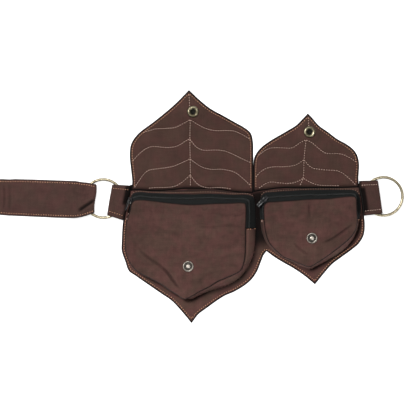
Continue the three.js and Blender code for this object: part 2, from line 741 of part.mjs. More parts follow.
// The strap comes from the left, passes over the ring's far side, folds through the ring and is
// sewn back under itself as far as the hem.
function makeStrap() {
  const { ringX } = tabFrame(-1, leftTab);
  const foldX = ringX - strapInset;
  const foldHalf = boreChord(strapInset + strapSkew, strapThickness);
  const half = strapWidth / 2;
  const lower = strapThickness / 2;
  const upper = ringLevel() + ringWire / 2 + gap + strapThickness / 2;
  const doubled = lower + strapThickness + gap;
  const cover = ringBore / 2 + ringWire - strapInset + ringCover;
  const turn = foldTurn(strapThickness, upper, lower);
  const height = (back) => {
    if (back < cover) return upper;
    if (back < strapHem) return Math.max(doubled, upper - (back - cover) * strapFall);
    return Math.max(lower, doubled - (back - strapHem) * hemFall);
  };
  const path = [];
  for (let back = strapLength; back > turn[0].x + strapStep / 2; back -= strapStep) {
    path.push(new THREE.Vector2(back, height(back)));
  }
  path.push(...turn);
  const upperCount = path.length - Math.ceil(turn.length / 2);
  for (let back = turn[0].x + strapStep; back < strapHem - gap; back += strapStep) {
    path.push(new THREE.Vector2(back, lower));
  }
  const place = (back, z, w, c) => {
    const share = back / strapLength;
    const spread = between(strapEdges, 'back', w > 0 ? 'upper' : 'lower', share);
    const width = foldHalf + (half - foldHalf) * spread;
    const ridge = c < upperCount ? strapRidge * ridgeShare(back, w) : 0;
    return new THREE.Vector3(foldX + strapSkew * w - back, leftTab.foldY + w * width, z + ridge);
  };
  return mesh('strap', foldedBand(path, 7, strapThickness, place), cloth);
}

// A tuck runs from the ring towards the strap's lower edge.
function ridgeShare(back, w) {
  const middle = tuck.start + tuck.drift * back;
  const near = Math.exp(-(((w - middle) / tuck.half) ** 2));
  return near * THREE.MathUtils.smoothstep(tuck.end - back, 0, tuck.fade);
}

// Extrudes an outline of X and Y between two heights.
function block(outline, low, high, hole) {
  const shape = new THREE.Shape(outline.map(([x, y]) => new THREE.Vector2(x, y)));
  if (hole) shape.holes.push(new THREE.Path(hole.map(([x, y]) => new THREE.Vector2(x, y))));
  const geometry = new THREE.ExtrudeGeometry(shape, { depth: high - low, bevelEnabled: false });
  return geometry.translate(0, 0, low);
}

function rectangle(x0, x1, y0, y1) {
  return [[x0, y0], [x1, y0], [x1, y1], [x0, y1]];
}

function toSolid(geometry) {
  geometry.deleteAttribute('normal');
  geometry.deleteAttribute('uv');
  const merged = mergeVertices(geometry, 1e-4);
  const vertProperties = new Float32Array(merged.attributes.position.array);
  const triVerts = new Uint32Array(merged.index.array);
  return new wasm.Manifold(new wasm.Mesh({ numProp: 3, vertProperties, triVerts }));
}

function toGeometry(solid) {
  const { vertProperties, triVerts } = solid.getMesh();
  const geometry = new THREE.BufferGeometry();
  geometry.setAttribute('position', new THREE.BufferAttribute(new Float32Array(vertProperties), 3));
  geometry.setIndex([...triVerts]);
  return geometry;
}

// A slider rides on the coil: its X runs down the zip, its Z out of the wall.
function makeSlider(pocket) {
  const half = sliderLength / 2;
  const side = sliderWidth / 2;
  const nose = noseShare * side;
  const neck = neckShare * half;
  const plate = block(
    [[-half, -nose], [-neck, -side], [half, -side], [half, side], [-neck, side], [-half, nose]],
    0, sliderPlate);
  const reach = bridgeReach;
  const inner = reach - bridgeFoot;
  const under = bridgeHeight - bridgeBar;
  const cut = bridgeChamfer;
  const arch = block(
    [[-reach, -bridgeSink], [-inner, -bridgeSink], [-inner, under], [inner, under],
      [inner, -bridgeSink], [reach, -bridgeSink], [reach, bridgeHeight - cut], [reach - cut, bridgeHeight],
      [cut - reach, bridgeHeight], [-reach, bridgeHeight - cut]],
    -bridgeWidth / 2, bridgeWidth / 2);
  arch.rotateX(Math.PI / 2).translate(0, 0, sliderPlate);
  return mesh(`${pocket.name}_zip_slider`, toGeometry(toSolid(plate).add(toSolid(arch))), blackMetal);
}

// A pull hangs on its bar under the slider's bridge, lying down the zip; the bar is its axis.
function makePull(pocket) {
  const bar = pullBar / 2;
  const inner = bridgeWidth / 2 + pullPlay;
  const outer = inner + pullArm;
  const wide = pullWidth / 2;
  const outline = [
    [-bar, -outer], [pullEye, -outer], [pullEye + pullTaper, -wide], [pullLength - pullTaper, -wide],
    [pullLength, pullChamfer - wide], [pullLength, wide - pullChamfer], [pullLength - pullTaper, wide],
    [pullEye + pullTaper, wide], [pullEye, outer], [-bar, outer],
  ];
  const geometry = block(outline, -bar, bar, rectangle(bar, pullEye, -inner, inner));
  const piece = mesh(`${pocket.name}_zip_pull`, geometry, blackMetal);
  piece.position.z = sliderPlate + pullAxisHeight;
  return piece;
}

// Slider and pull on the wall, with the pull pointing towards the zip's left end.
function makeSliderGroup(pocket) {
  const station = pocket.sliderStation;
  const normal = wallNormal(pocket, station, chainShare);
  const seat = wallPoint(pocket, station, chainShare).addScaledVector(normal, coilHeight / 2 + sliderLift);
  const along = wallPoint(pocket, station + 0.3, chainShare).sub(wallPoint(pocket, station - 0.3, chainShare));
  along.addScaledVector(normal, -along.dot(normal)).normalize();
  const across = normal.clone().cross(along);
  const group = new THREE.Group();
  group.add(makeSlider(pocket), makePull(pocket));
  group.applyMatrix4(new THREE.Matrix4().makeBasis(along, across, normal).setPosition(seat));
  return group;
}

function makePocket(pocket) {
  pocket.curves = wallCurves(pocket);
  return [
    makeFlap(pocket),
    makeFlapSnap(pocket),
    makeHem(pocket),
    ...makeZip(pocket),
    makeSliderGroup(pocket),
    makeGusset(pocket),
    makeFront(pocket),
    makeFrontSnap(pocket),
  ];
}

// The whole belt, moved so that the middle of its box's underside is the origin.
const pieces = new THREE.Group();
pieces.add(
  makeBacking(),
  ...makePocket(largePocket),
  ...makePocket(smallPocket),
  makeTab('left_tab', -1, leftTab),
  makeTab('right_tab', 1, rightTab),
  makeRing('left_ring', -1, leftTab),
  makeRing('right_ring', 1, rightTab),
  makeStrap(),
);
pieces.updateMatrixWorld(true);
const box = new THREE.Box3().setFromObject(pieces, true);
const middle = box.getCenter(new THREE.Vector3());
pieces.position.set(-middle.x, -middle.y, -box.min.z);

const belt = new THREE.Group();
belt.add(pieces);

export default belt;
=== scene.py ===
import functools
import math

import bpy
import numpy as np
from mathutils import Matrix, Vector
from mathutils.bvhtree import BVHTree
from mathutils.geometry import delaunay_2d_cdt


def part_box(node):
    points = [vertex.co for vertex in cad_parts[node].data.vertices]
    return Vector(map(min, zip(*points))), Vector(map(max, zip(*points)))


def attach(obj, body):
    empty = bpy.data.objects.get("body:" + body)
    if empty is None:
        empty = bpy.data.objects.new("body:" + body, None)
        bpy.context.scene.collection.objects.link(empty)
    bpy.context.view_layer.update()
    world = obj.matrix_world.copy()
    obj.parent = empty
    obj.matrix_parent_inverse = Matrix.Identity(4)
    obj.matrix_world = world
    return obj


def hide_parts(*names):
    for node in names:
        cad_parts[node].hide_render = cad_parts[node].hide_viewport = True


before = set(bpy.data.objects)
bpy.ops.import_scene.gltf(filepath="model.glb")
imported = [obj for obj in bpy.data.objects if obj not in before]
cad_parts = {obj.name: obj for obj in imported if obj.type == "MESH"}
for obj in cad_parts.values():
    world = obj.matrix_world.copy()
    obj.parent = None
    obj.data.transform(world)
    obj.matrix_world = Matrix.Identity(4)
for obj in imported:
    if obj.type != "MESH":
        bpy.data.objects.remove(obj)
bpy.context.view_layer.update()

# A cloth waist belt with two leaf-shaped zip pockets, laid open on its back.
# Lengths are in millimetres from the valley between the flaps, at the belt's middle line, and
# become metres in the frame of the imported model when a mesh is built.
MM = 0.001

# Clearances and cloth
GAP = 0.3
RING_PLAY = 0.6
VALLEY_GAP = 0.8
BACKING = 2
FLAP = 2.2
FRONT = 1.8
WALL = 1.8
TAPE = 1.1
TAB = 1.5
STRAP = 1.6
BACKING_TOP = 10
POCKET_TOP = -2.3
WALL_TURN = math.radians(75)
WALL_BULGE = 1.5

# Rings, tabs and strap
RING_WIRE = 3.2
TAB_WIDTH = 40
RING_BORE = TAB_WIDTH + RING_PLAY
RING_SEGMENTS = 144
RING_LEVEL = TAB + GAP + RING_WIRE / 2
STRAP_LENGTH = 118
STRAP_WIDTH = 42
STRAP_INSET = 8.8
STRAP_SKEW = 1
STRAP_HEM = 45
STRAP_RIDGE = 1
STRAP_BOW = 0.7
STRAP_ROW = 2.7
TAB_ROW = 0.74
TAB_LAP = 1.0
TAB_FLAP_LAP = 1.6
TURN_STEPS = 12
BAND_WIDTHS = np.r_[-1, -0.985, -0.965, -0.94, np.linspace(-0.9, 0.9, 37), 0.94, 0.965, 0.985, 1]

# Each tab: how far its fold reaches into the ring and how it slants there, room between the ring
# and the backing, height of the fold and of the sewn end, the ring's lean in degrees, tone of the
# cloth, the shadow of the pocket on it (from, to and reach), and the ring's weld angle and tone.
LEFT_TAB = {
    "inset": 7.2, "slant": 3, "room": 3.6, "fold_y": -0.6, "end_y": -5.6, "lean": 0,
    "tone": 0.96, "shadow": (-0.15, 0.95, 6.5), "weld": 205, "ring_tone": 0.85,
}
RIGHT_TAB = {
    "inset": 3.6, "slant": 2.7, "room": 0.9, "fold_y": 1.9, "end_y": -0.3, "lean": 2.3,
    "tone": 0.95, "shadow": (-0.8, 0.62, 6.5), "weld": 118, "ring_tone": 1,
}

# Snaps and zip
CAP_RADIUS = 6.2
CAP_THICKNESS = 1.4
SNAP_RAISE = CAP_THICKNESS + GAP + 0.1
SNAP_POST = 2.4
SOCKET_RADIUS = 6.8
SOCKET_HEIGHT = 2.3
SOCKET_EYE = 2.45
STUD_RADIUS = 6.2
KNOB_RADIUS = 2.5
KNOB_HEIGHT = 3.4
COIL_WIDTH = 1.9
COIL_PITCH = 0.72
COIL_RADIUS = 0.42
COIL_ZIGZAG = 0.32
COIL_SLANT = 0.22
CHAIN_SHARE = 0.68
TAPE_EDGE_SHARE = 0.05
STATION_GAP = 0.03
HEM_ROW = 6

# Thread. A capsule has rings of place along it, width and lift, in its length and its radius.
THREAD_PITCH = 0.00062
STITCH_PITCH = 2.85
STITCH_LENGTH = 1.55
STITCH_RADIUS = 0.37
SEAM_INSET = 3
CAPSULE_SIDES = 6
CAPSULE = [
    (-0.5, 0.35, -0.9), (-0.42, 0.8, -0.25), (-0.2, 1, 0.3),
    (0.2, 1, 0.3), (0.42, 0.8, -0.25), (0.5, 0.35, -0.9),
]

# Edges of cloth panels: rows of points inside them, and the thin lip of the turned edge
RIMS = (0.25, 0.6, 1.1, 1.8, 2.6)
EDGE_LIP = 1.25
EDGE_SPREAD = 0.45
ROOT_RAISE = 2.25
PANEL_STEP = 0.95
EDGE_STEP = 0.9
SHADE_SIDE = np.array([0.75, -0.66])
TAB_FOOT = -24
# Painted shade: the undersides of the cloth pieces are darker.
UNDERSIDE_SHADE = 0.8

# The camera looks down at one point of the picture
CAMERA_POINT = (208, 208)
CAMERA_HEIGHT = 1.6
FIELD = 0.4784
SENSOR = 36.0

# Flap edges: across in half widths of the flap, up in heights of the flap. Leaf edges: across in
# half widths of the leaf, down in its heights. Walls: foot and seam of each pocket's side, across
# in half widths and down in heights of the pocket, and the brown strip's share of the side. Swell:
# the station of the wall that bulges most, and by how much.
LARGE = {
    "name": "large", "side": -1, "half_width": 69, "height": 115, "seam_height": 13, "crown": 6.5,
    "overhang": 1.6, "flap_height": 114, "flap_shift": 0, "leaf_margin": 12, "tip_margin": 26,
    "flap_edge": [
        [(-0.985, -0.018), (-0.965, 0.06), (-0.98, 0.17), (-1.005, 0.34), (-0.985, 0.45), (-0.88, 0.55),
         (-0.58, 0.695), (-0.29, 0.845), (-0.04, 1)],
        [(-0.04, 1), (0.14, 0.895), (0.315, 0.81), (0.52, 0.74), (0.72, 0.67), (0.85, 0.625),
         (0.965, 0.565), (1.003, 0.47), (1.0069, 0.38), (1.0069, 0.2), (1.0069, -0.041)],
        [(1.0069, -0.041), (0.8, -0.037), (0.66, -0.029), (0.34, -0.002), (0.1, 0.001), (-0.11, 0),
         (-0.4, -0.0175), (-0.645, -0.022), (-0.83, -0.015), (-0.985, -0.018)],
    ],
    "flap_snap": (0.025, 0.778),
    "leaf_edge": [
        [(-0.87, 0), (-0.91, 0.1), (-0.965, 0.235), (-0.985, 0.4), (-0.985, 0.46), (-0.935, 0.54),
         (-0.885, 0.61), (-0.795, 0.645), (-0.59, 0.72), (-0.425, 0.78), (-0.275, 0.835),
         (-0.1, 0.935), (0, 1)],
        [(0, 1), (0.095, 0.935), (0.195, 0.895), (0.455, 0.8), (0.605, 0.765), (0.76, 0.715),
         (0.855, 0.67), (0.93, 0.61), (0.975, 0.55), (1.015, 0.495)],
    ],
    "wall": [
        (-1.05, 0.135, -1.045, 0.155, 0), (-1.085, 0.24, -1.08, 0.24, 0),
        (-1.09, 0.36, -1.095, 0.36, 0), (-1.075, 0.47, -1.095, 0.48, 0),
        (-1.025, 0.57, -1.06, 0.58, 0), (-0.93, 0.65, -0.985, 0.655, 0),
        (-0.84, 0.7, -0.9, 0.71, 0), (-0.65, 0.77, -0.68, 0.78, 0),
        (-0.465, 0.835, -0.51, 0.835, 0), (-0.315, 0.89, -0.38, 0.89, 0),
        (-0.165, 0.945, -0.245, 0.94, 0), (-0.015, 0.99, -0.125, 0.985, 0),
        (0.125, 0.955, 0, 0.96, 0), (0.275, 0.915, 0.125, 0.915, 0),
        (0.46, 0.88, 0.275, 0.87, 0), (0.64, 0.84, 0.44, 0.81, 0),
        (0.825, 0.765, 0.675, 0.75, 0), (0.94, 0.67, 0.81, 0.705, 0),
        (1.025, 0.56, 0.88, 0.6, 0), (1.065, 0.4, 0.9, 0.42, 0),
        (1.075, 0.285, 0.9, 0.285, 0), (1.075, 0.16, 0.908, 0.16, 0),
        (1.07, 0.05, 0.908, 0.07, 0), (1.045, -0.03, 0.89, 0.035, 0.08),
        (0.97, -0.063, 0.83, 0.025, 0.2), (0.675, -0.077, 0.64, 0.03, 0.3),
        (0.34, -0.103, 0.34, 0.035, 0.42), (0, -0.105, 0.01, 0.045, 0.45),
        (-0.36, -0.091, -0.34, 0.03, 0.34), (-0.675, -0.084, -0.675, 0.005, 0.18),
        (-0.88, -0.09, -0.88, -0.002, 0.14), (-0.98, -0.07, -0.96, 0.012, 0.1),
        (-1.015, -0.025, -0.997, 0.045, 0.06), (-1.035, 0.05, -1.012, 0.095, 0),
    ],
    "zip_start": 20, "front_snap": (-0.05, 0.656), "swell": (21, 0.8), "hem_shade": 0.6,
    "front_seed": 71, "gusset_seed": 31,
}
SMALL = {
    "name": "small", "side": 1, "half_width": 57.5, "height": 80.5, "seam_height": 12, "crown": 5.5,
    "overhang": 3.2, "flap_height": 87, "flap_shift": -4.5, "leaf_margin": 4.8, "tip_margin": 16,
    "flap_edge": [
        [(-1.006, -0.0425), (-1.006, 0.3), (-0.99, 0.405), (-0.93, 0.49), (-0.83, 0.565), (-0.68, 0.64),
         (-0.35, 0.775), (-0.19, 0.845), (-0.06, 0.935), (0.03, 1)],
        [(0.03, 1), (0.12, 0.935), (0.23, 0.845), (0.41, 0.755), (0.58, 0.665), (0.77, 0.59),
         (0.895, 0.52), (0.965, 0.445), (0.998, 0.34), (0.995, 0.24), (0.985, 0.12), (0.99, 0.02)],
        [(0.99, 0.02), (0.865, 0.017), (0.695, 0.0125), (0.2, 0.01), (-0.12, 0.01), (-0.366, 0.01),
         (-0.575, 0.002), (-0.8, -0.02), (-0.88, -0.026), (-1.006, -0.0425)],
    ],
    "flap_snap": (0.055, 0.752),
    "leaf_edge": [
        [(-0.815, 0.645), (-0.665, 0.71), (-0.48, 0.775), (-0.31, 0.83), (-0.115, 0.905),
         (0.015, 0.965), (0.085, 1)],
        [(0.085, 1), (0.155, 0.95), (0.255, 0.88), (0.395, 0.79), (0.58, 0.71), (0.76, 0.635),
         (0.89, 0.57), (0.98, 0.48), (1, 0.375), (0.985, 0.27), (0.955, 0.115), (0.915, 0)],
    ],
    "wall": [
        (-1.01, 0.28, -0.937, 0.295, 0), (-0.99, 0.39, -0.92, 0.415, 0),
        (-0.945, 0.51, -0.885, 0.525, 0), (-0.875, 0.62, -0.825, 0.62, 0),
        (-0.75, 0.72, -0.73, 0.7, 0), (-0.57, 0.815, -0.575, 0.8, 0),
        (-0.385, 0.885, -0.385, 0.86, 0), (-0.205, 0.945, -0.2, 0.915, 0),
        (-0.02, 0.985, -0.03, 0.95, 0), (0.16, 0.93, 0.125, 0.895, 0),
        (0.355, 0.855, 0.305, 0.81, 0), (0.55, 0.77, 0.49, 0.71, 0),
        (0.725, 0.67, 0.67, 0.61, 0), (0.86, 0.545, 0.805, 0.52, 0),
        (0.94, 0.41, 0.895, 0.415, 0), (0.98, 0.28, 0.925, 0.28, 0),
        (1.015, 0.165, 0.915, 0.17, 0), (1.015, 0.055, 0.91, 0.06, 0),
        (0.995, -0.06, 0.897, -0.028, 0.06), (0.905, -0.14, 0.84, -0.052, 0.13),
        (0.655, -0.16, 0.615, -0.045, 0.15), (0.315, -0.165, 0.315, -0.02, 0.18),
        (-0.025, -0.165, -0.025, -0.015, 0.21), (-0.365, -0.16, -0.365, 0.005, 0.25),
        (-0.685, -0.145, -0.67, 0.02, 0.26), (-0.93, -0.115, -0.87, 0.032, 0.2),
        (-1, -0.04, -0.932, 0.07, 0.08), (-1.02, 0.1, -0.945, 0.17, 0),
    ],
    "zip_start": 15, "front_snap": (0.008, 0.54), "swell": (16.6, 2.4), "hem_shade": 0.4,
    "front_seed": 81, "gusset_seed": 41,
}
POCKETS = [LARGE, SMALL]

# Strap edges from the fold: back in strap lengths, spread of the upper and the lower edge
STRAP_EDGES = [
    (0, 0, 0), (0.03, 0.1, 0.3), (0.08, 0.4, 0.75), (0.14, 0.55, 1.15), (0.2, 0.8, 1.35), (0.4, 1, 1.2),
    (0.62, 1.2, 0.95), (0.8, 1.3, 0.75), (0.84, 1.22, 0.72), (0.92, 1.3, 0.55), (1, 1.25, 0.45),
]

# Picture points: x to the right and y down, at 1.15 mm a point. Each flap has a middle vein and
# pairs of side veins that start on it.
POINT = 1.15
VALLEY_POINT = (253.2, 198)
VEINS = {
    "large": [
        [(189, 94), (189.7, 107)],
        [(190.2, 119.5), (189.9, 140), (190.2, 160), (190.5, 188)],
        [(190.2, 119.9), (182.7, 124), (174.4, 127.7), (165.3, 128.5), (157, 128.8), (149.6, 130.6),
         (143, 133)],
        [(190.2, 119.9), (196.8, 124), (204.3, 128.1), (214.2, 130.6), (225.8, 130.6), (233.3, 131),
         (239.9, 133.5), (247.4, 137.7)],
        [(189.7, 139), (185.2, 141.4), (177.8, 145.9), (169.5, 147.6), (161.2, 147.2), (152.9, 146.4),
         (145.4, 149.1), (139.6, 153.7), (134.6, 159.1)],
        [(189.7, 139), (194.3, 145), (198.5, 148.7), (204.3, 150.4), (214.2, 150), (223.4, 150.8),
         (231.7, 153.7), (239.9, 157.8), (249.9, 162.4)],
        [(190, 159), (181.1, 163.2), (172.8, 166.5), (162.8, 168.2), (152.9, 169.4), (147.1, 171.1),
         (142.1, 176.5), (137.1, 183.9)],
        [(190, 159), (196.8, 164), (202.6, 167.4), (210.9, 169.3), (220.9, 169.3), (230, 170.7),
         (235.8, 172.8), (242.4, 178.1), (248.2, 183.5)],
        [(190.3, 175), (186, 179), (181.1, 183.1), (174.4, 186.4), (165.3, 187.4), (152.9, 187.7),
         (147.9, 188.5)],
        [(190.3, 175), (194.3, 180.6), (198.5, 184.8), (205.1, 187.4), (223.4, 187.7), (229.2, 188.7),
         (233, 189.5)],
    ],
    "small": [
        [(308.2, 117), (308.5, 127)],
        [(305.9, 139.9), (303.9, 159.9), (302.9, 178.4), (299.4, 186)],
        [(305.6, 139.9), (299.4, 143.2), (292.2, 147.9), (284.9, 148.1), (277.6, 147.7), (270.4, 148.1),
         (264.5, 150.8), (260.2, 154.1)],
        [(305.6, 139.9), (311.1, 142.4), (318.3, 148.3), (325.6, 153.4), (332.2, 153.7), (338, 153.7),
         (344.5, 155.2), (351.8, 159.2), (355.1, 161.4)],
        [(303.9, 159.9), (296.5, 164.6), (291.4, 166.1), (282.7, 166.8), (274, 166.8), (266.7, 168.3),
         (260.9, 171.5), (257.3, 175.2), (255.5, 178.3)],
        [(303.9, 159.9), (307.4, 164.3), (311.8, 167.9), (316.9, 169), (326.3, 170.1), (335.8, 170.7),
         (342.3, 173), (347.4, 177), (354.3, 183.9)],
        [(302.9, 178.4), (299.4, 180.6), (293.6, 182.8), (287.8, 183.5), (279.1, 183), (270.4, 182.1),
         (265.3, 183.9), (260.2, 187.2)],
        [(302.9, 178.4), (307.4, 181), (313.3, 183.7), (319.8, 185.3), (330, 185.5), (340.9, 185.7)],
    ],
}
# Creases in the fronts: the line, its half width and its depth in millimetres, downwards
CREASES = {
    "large": [
        ([(136.4, 243.8), (143.6, 253), (150.7, 258.6), (158.9, 264.2), (164, 268.3), (169, 273.4),
          (173.7, 280.2), (178.3, 286.4), (183, 288.7)], 2.1, 1.5),
        ([(162, 266.5), (167, 271), (171.5, 277), (176, 283.5), (181, 289)], 1.2, 1.8),
        ([(130, 230), (134, 240), (141, 249)], 2.6, 0.5),
        ([(196, 226), (212, 227.5), (228, 225.5), (244, 227)], 2, 0.7),
        ([(200, 215), (214, 213.5), (228, 215.5), (240, 213)], 1.8, 0.5),
        ([(150, 222), (165, 231), (186, 236)], 3, 0.6),
        ([(148, 208), (153, 213), (150, 219)], 1.6, 0.5),
        ([(201, 206.5), (204.5, 210.5), (208, 206)], 1.3, 0.7),
        ([(232, 216), (239, 215.5), (246, 211.5)], 1.6, 0.8),
        ([(238, 232), (243, 236), (246, 243)], 1.5, 0.6),
        ([(236, 256), (241, 253), (246, 253.5)], 1.4, 0.4),
        ([(205, 245), (222, 247), (243, 241)], 4.5, 0.4),
        ([(214, 266), (226, 264), (240, 266)], 2.2, 0.45),
        ([(196, 284), (208, 274), (222, 270)], 2.8, 0.4),
    ],
    "small": [
        ([(352.9, 223.4), (345, 229), (333, 237.5), (320.8, 243.3)], 1.8, 1.9),
        ([(291.7, 241.8), (299, 249), (308.6, 255.6)], 1.9, 1.1),
        ([(308.5, 203), (308.2, 211), (309, 218)], 1.9, 1.2),
        ([(272, 232), (284, 238), (296, 238)], 3, 0.4),
        ([(336, 206), (330, 214), (328, 224)], 3, 0.35),
        ([(276, 203), (281, 212), (280, 224)], 3.2, 0.35),
        ([(330, 249), (336, 244), (345, 242)], 1.6, 0.4),
    ],
}
STRAP_CREASES = [
    ([(77, 212), (80.5, 209.8), (86, 206), (91, 202.8), (97, 199)], 2.3, 2.6),
    ([(70, 188), (78, 194), (90, 197)], 3, 0.35),
    ([(4, 182), (4.6, 198), (3.5, 213)], 1.6, 0.8),
    ([(9.5, 182), (10, 198), (9, 214)], 2, 0.6),
    ([(30, 190), (48, 192), (62, 191)], 4, 0.25),
]


def centre_of(node):
    low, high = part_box(node)
    return (np.array(low) + np.array(high)) / 2 / MM


# Curves and places


def spline(points, at, closed=False):
    """Places on a smooth curve through the points, at stations counted in points."""
    p = np.asarray(points, float)
    at = np.asarray(at, float)
    if closed:
        at = np.mod(at, len(p))
        first = np.minimum(at.astype(int), len(p) - 1)
        a, b, c, d = (p[(first + k) % len(p)] for k in (-1, 0, 1, 2))
    else:
        first = np.clip(at.astype(int), 0, len(p) - 2)
        longer = np.vstack([2 * p[0] - p[1], p, 2 * p[-1] - p[-2]])
        a, b, c, d = (longer[first + k] for k in range(4))
    apart = [np.linalg.norm(v - u, axis=1)[:, None] for u, v in ((a, b), (b, c), (c, d))]
    span = [np.maximum(length, 1e-9) ** 0.5 for length in apart]
    out = ((b - a) / span[0] - (c - a) / (span[0] + span[1]) + (c - b) / span[1]) * span[1]
    into = ((c - b) / span[1] - (d - b) / (span[1] + span[2]) + (d - c) / span[2]) * span[1]
    t = (at - first)[:, None]
    return b + out * t + (3 * (c - b) - 2 * out - into) * t**2 + (2 * (b - c) + out + into) * t**3


def lengths(line):
    return np.r_[0, np.cumsum(np.linalg.norm(np.diff(line, axis=0), axis=1))]


def even(line, step):
    """A line in even steps of about the given length, with both its ends."""
    line = np.asarray(line, float)
    along = lengths(line)
    at = np.linspace(0, along[-1], max(1, round(along[-1] / step)) + 1)
    return np.stack([np.interp(at, along, column) for column in line.T], axis=1)


def smooth(points, step):
    """A smooth curve through the points, in even steps."""
    return even(spline(points, np.linspace(0, len(points) - 1, 30 * len(points))), step)


def closed_edge(stretches, place, step):
    """A closed edge of smooth stretches, each between two corners."""
    return np.vstack([smooth(place(np.array(stretch, float)), step)[:-1] for stretch in stretches])


def picture(points):
    """Millimetres of picture points."""
    x, y = np.array(points, float).T
    return np.stack([(x - VALLEY_POINT[0]) * POINT, (VALLEY_POINT[1] - y) * POINT], axis=1)


def flap_half(pocket):
    return pocket["half_width"] + pocket["overhang"]


def pocket_x(pocket):
    return pocket["side"] * (VALLEY_GAP / 2 + flap_half(pocket)) - pocket["flap_shift"]


def flap_place(pocket):
    size = np.array([flap_half(pocket), pocket["flap_height"]])
    start = np.array([pocket_x(pocket) + pocket["flap_shift"], BACKING_TOP + GAP])
    return lambda at: start + np.asarray(at) * size


def leaf_place(pocket):
    height = BACKING_TOP - POCKET_TOP + pocket["height"] + pocket["tip_margin"]
    size = np.array([pocket["half_width"] + pocket["leaf_margin"], -height])
    return lambda at: np.array([pocket_x(pocket), BACKING_TOP]) + np.asarray(at) * size


def pocket_place(pocket):
    size = np.array([pocket["half_width"], -pocket["height"]])
    return lambda at: np.array([pocket_x(pocket), POCKET_TOP]) + np.asarray(at) * size


SHIFT = np.r_[(centre_of("large_front_snap")[:2] - pocket_place(LARGE)(LARGE["front_snap"])), 0]


def off_line(points, line, closed=False):
    """How far each point is from a line, and how far along it the nearest place is."""
    line = np.vstack([line, line[:1]]) if closed else np.asarray(line)
    starts, spans = line[:-1], np.diff(line, axis=0)
    squared = np.maximum((spans**2).sum(axis=1), 1e-12)
    along = lengths(line)
    away, at = [], []
    for part in np.array_split(points, max(1, len(points) // 3000)):
        out = part[:, None, :] - starts[None]
        share = np.clip((out * spans).sum(axis=2) / squared, 0, 1)
        apart = np.linalg.norm(out - share[..., None] * spans, axis=2)
        best = apart.argmin(axis=1)
        rows = np.arange(len(part))
        away.append(apart[rows, best])
        at.append(along[best] + share[rows, best] * np.sqrt(squared[best]))
    return np.concatenate(away), np.concatenate(at)


def inside(points, outline):
    ends = np.roll(outline, -1, axis=0)
    odd = np.zeros(len(points), bool)
    for (x0, y0), (x1, y1) in zip(outline, ends):
        if y0 != y1:
            crosses = (points[:, 1] < y0) != (points[:, 1] < y1)
            odd ^= crosses & (points[:, 0] < x0 + (points[:, 1] - y0) / (y1 - y0) * (x1 - x0))
    return odd


def inset(outline, depth):
    """Points that lie a depth inside a closed edge that runs anticlockwise."""
    along = np.roll(outline, -1, axis=0) - np.roll(outline, 1, axis=0)
    along /= np.linalg.norm(along, axis=1)[:, None]
    moved = outline + depth * np.stack([-along[:, 1], along[:, 0]], axis=1)
    away, _ = off_line(moved, outline, closed=True)
    return moved[away > 0.97 * abs(depth)]


def anticlockwise(outline):
    x, y = outline.T
    turn = (x * np.roll(y, -1) - y * np.roll(x, -1)).sum()
    return outline if turn > 0 else outline[::-1]


def waves(points, size, seed, stretch=(1, 1)):
    """Smooth random waves from -1 to 1, about the given size across."""
    made = np.random.default_rng(seed)
    table = made.uniform(-1, 1, (64, 64))
    at = points / (size * np.array(stretch)) + 1000
    cell = np.floor(at).astype(int)
    share = at - cell
    share = share * share * (3 - 2 * share)
    x, y = cell.T
    corner = [table[(x + i) % 64, (y + j) % 64] for i in (0, 1) for j in (0, 1)]
    low = corner[0] * (1 - share[:, 1]) + corner[1] * share[:, 1]
    high = corner[2] * (1 - share[:, 1]) + corner[3] * share[:, 1]
    return low * (1 - share[:, 0]) + high * share[:, 0]


def step_up(value, low, high):
    share = np.clip((value - low) / (high - low), 0, 1)
    return share * share * (3 - 2 * share)


def crease(points, line, half, depth):
    """A valley along a line, with a soft ridge on both its sides, that fades at its ends."""
    away, at = off_line(points, line)
    total = lengths(line)[-1]
    fade = step_up(at, -0.1, 0.25 * total) * step_up(total - at, -0.1, 0.25 * total)
    share = (away / half) ** 2
    return -depth * fade * (1 - 0.8 * share) * np.exp(-share)


def creased(points, table):
    """The sum of a table's creases."""
    return sum(crease(points, smooth(picture(line), 1.5), half, depth) for line, half, depth in table)


# Meshes


def build(name, points, faces, look, replaces=(), around=None, tone=None):
    """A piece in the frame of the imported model, from points in millimetres."""
    data = bpy.data.meshes.new(name)
    data.from_pydata(((points + SHIFT) * MM).tolist(), [], [list(face) for face in faces])
    data.polygons.foreach_set("use_smooth", [True] * len(data.polygons))
    if around is None:
        around = points[:, :2]
    layer = data.uv_layers.new(name="cloth")
    corner = np.zeros(len(data.loops), int)
    data.loops.foreach_get("vertex_index", corner)
    layer.data.foreach_set("uv", (around[corner] * MM).astype(np.float32).ravel())
    if tone is None:
        tone = np.ones(len(points))
    data.attributes.new("tone", "FLOAT", "POINT").data.foreach_set("value", tone.astype(np.float32))
    data.update()
    piece = bpy.data.objects.new(name, data)
    bpy.context.scene.collection.objects.link(piece)
    data.materials.append(look)
    return finished(piece, replaces=replaces)


def finished(piece, body="root", replaces=()):
    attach(piece, body)
    if replaces:
        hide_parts(*replaces)
    return piece


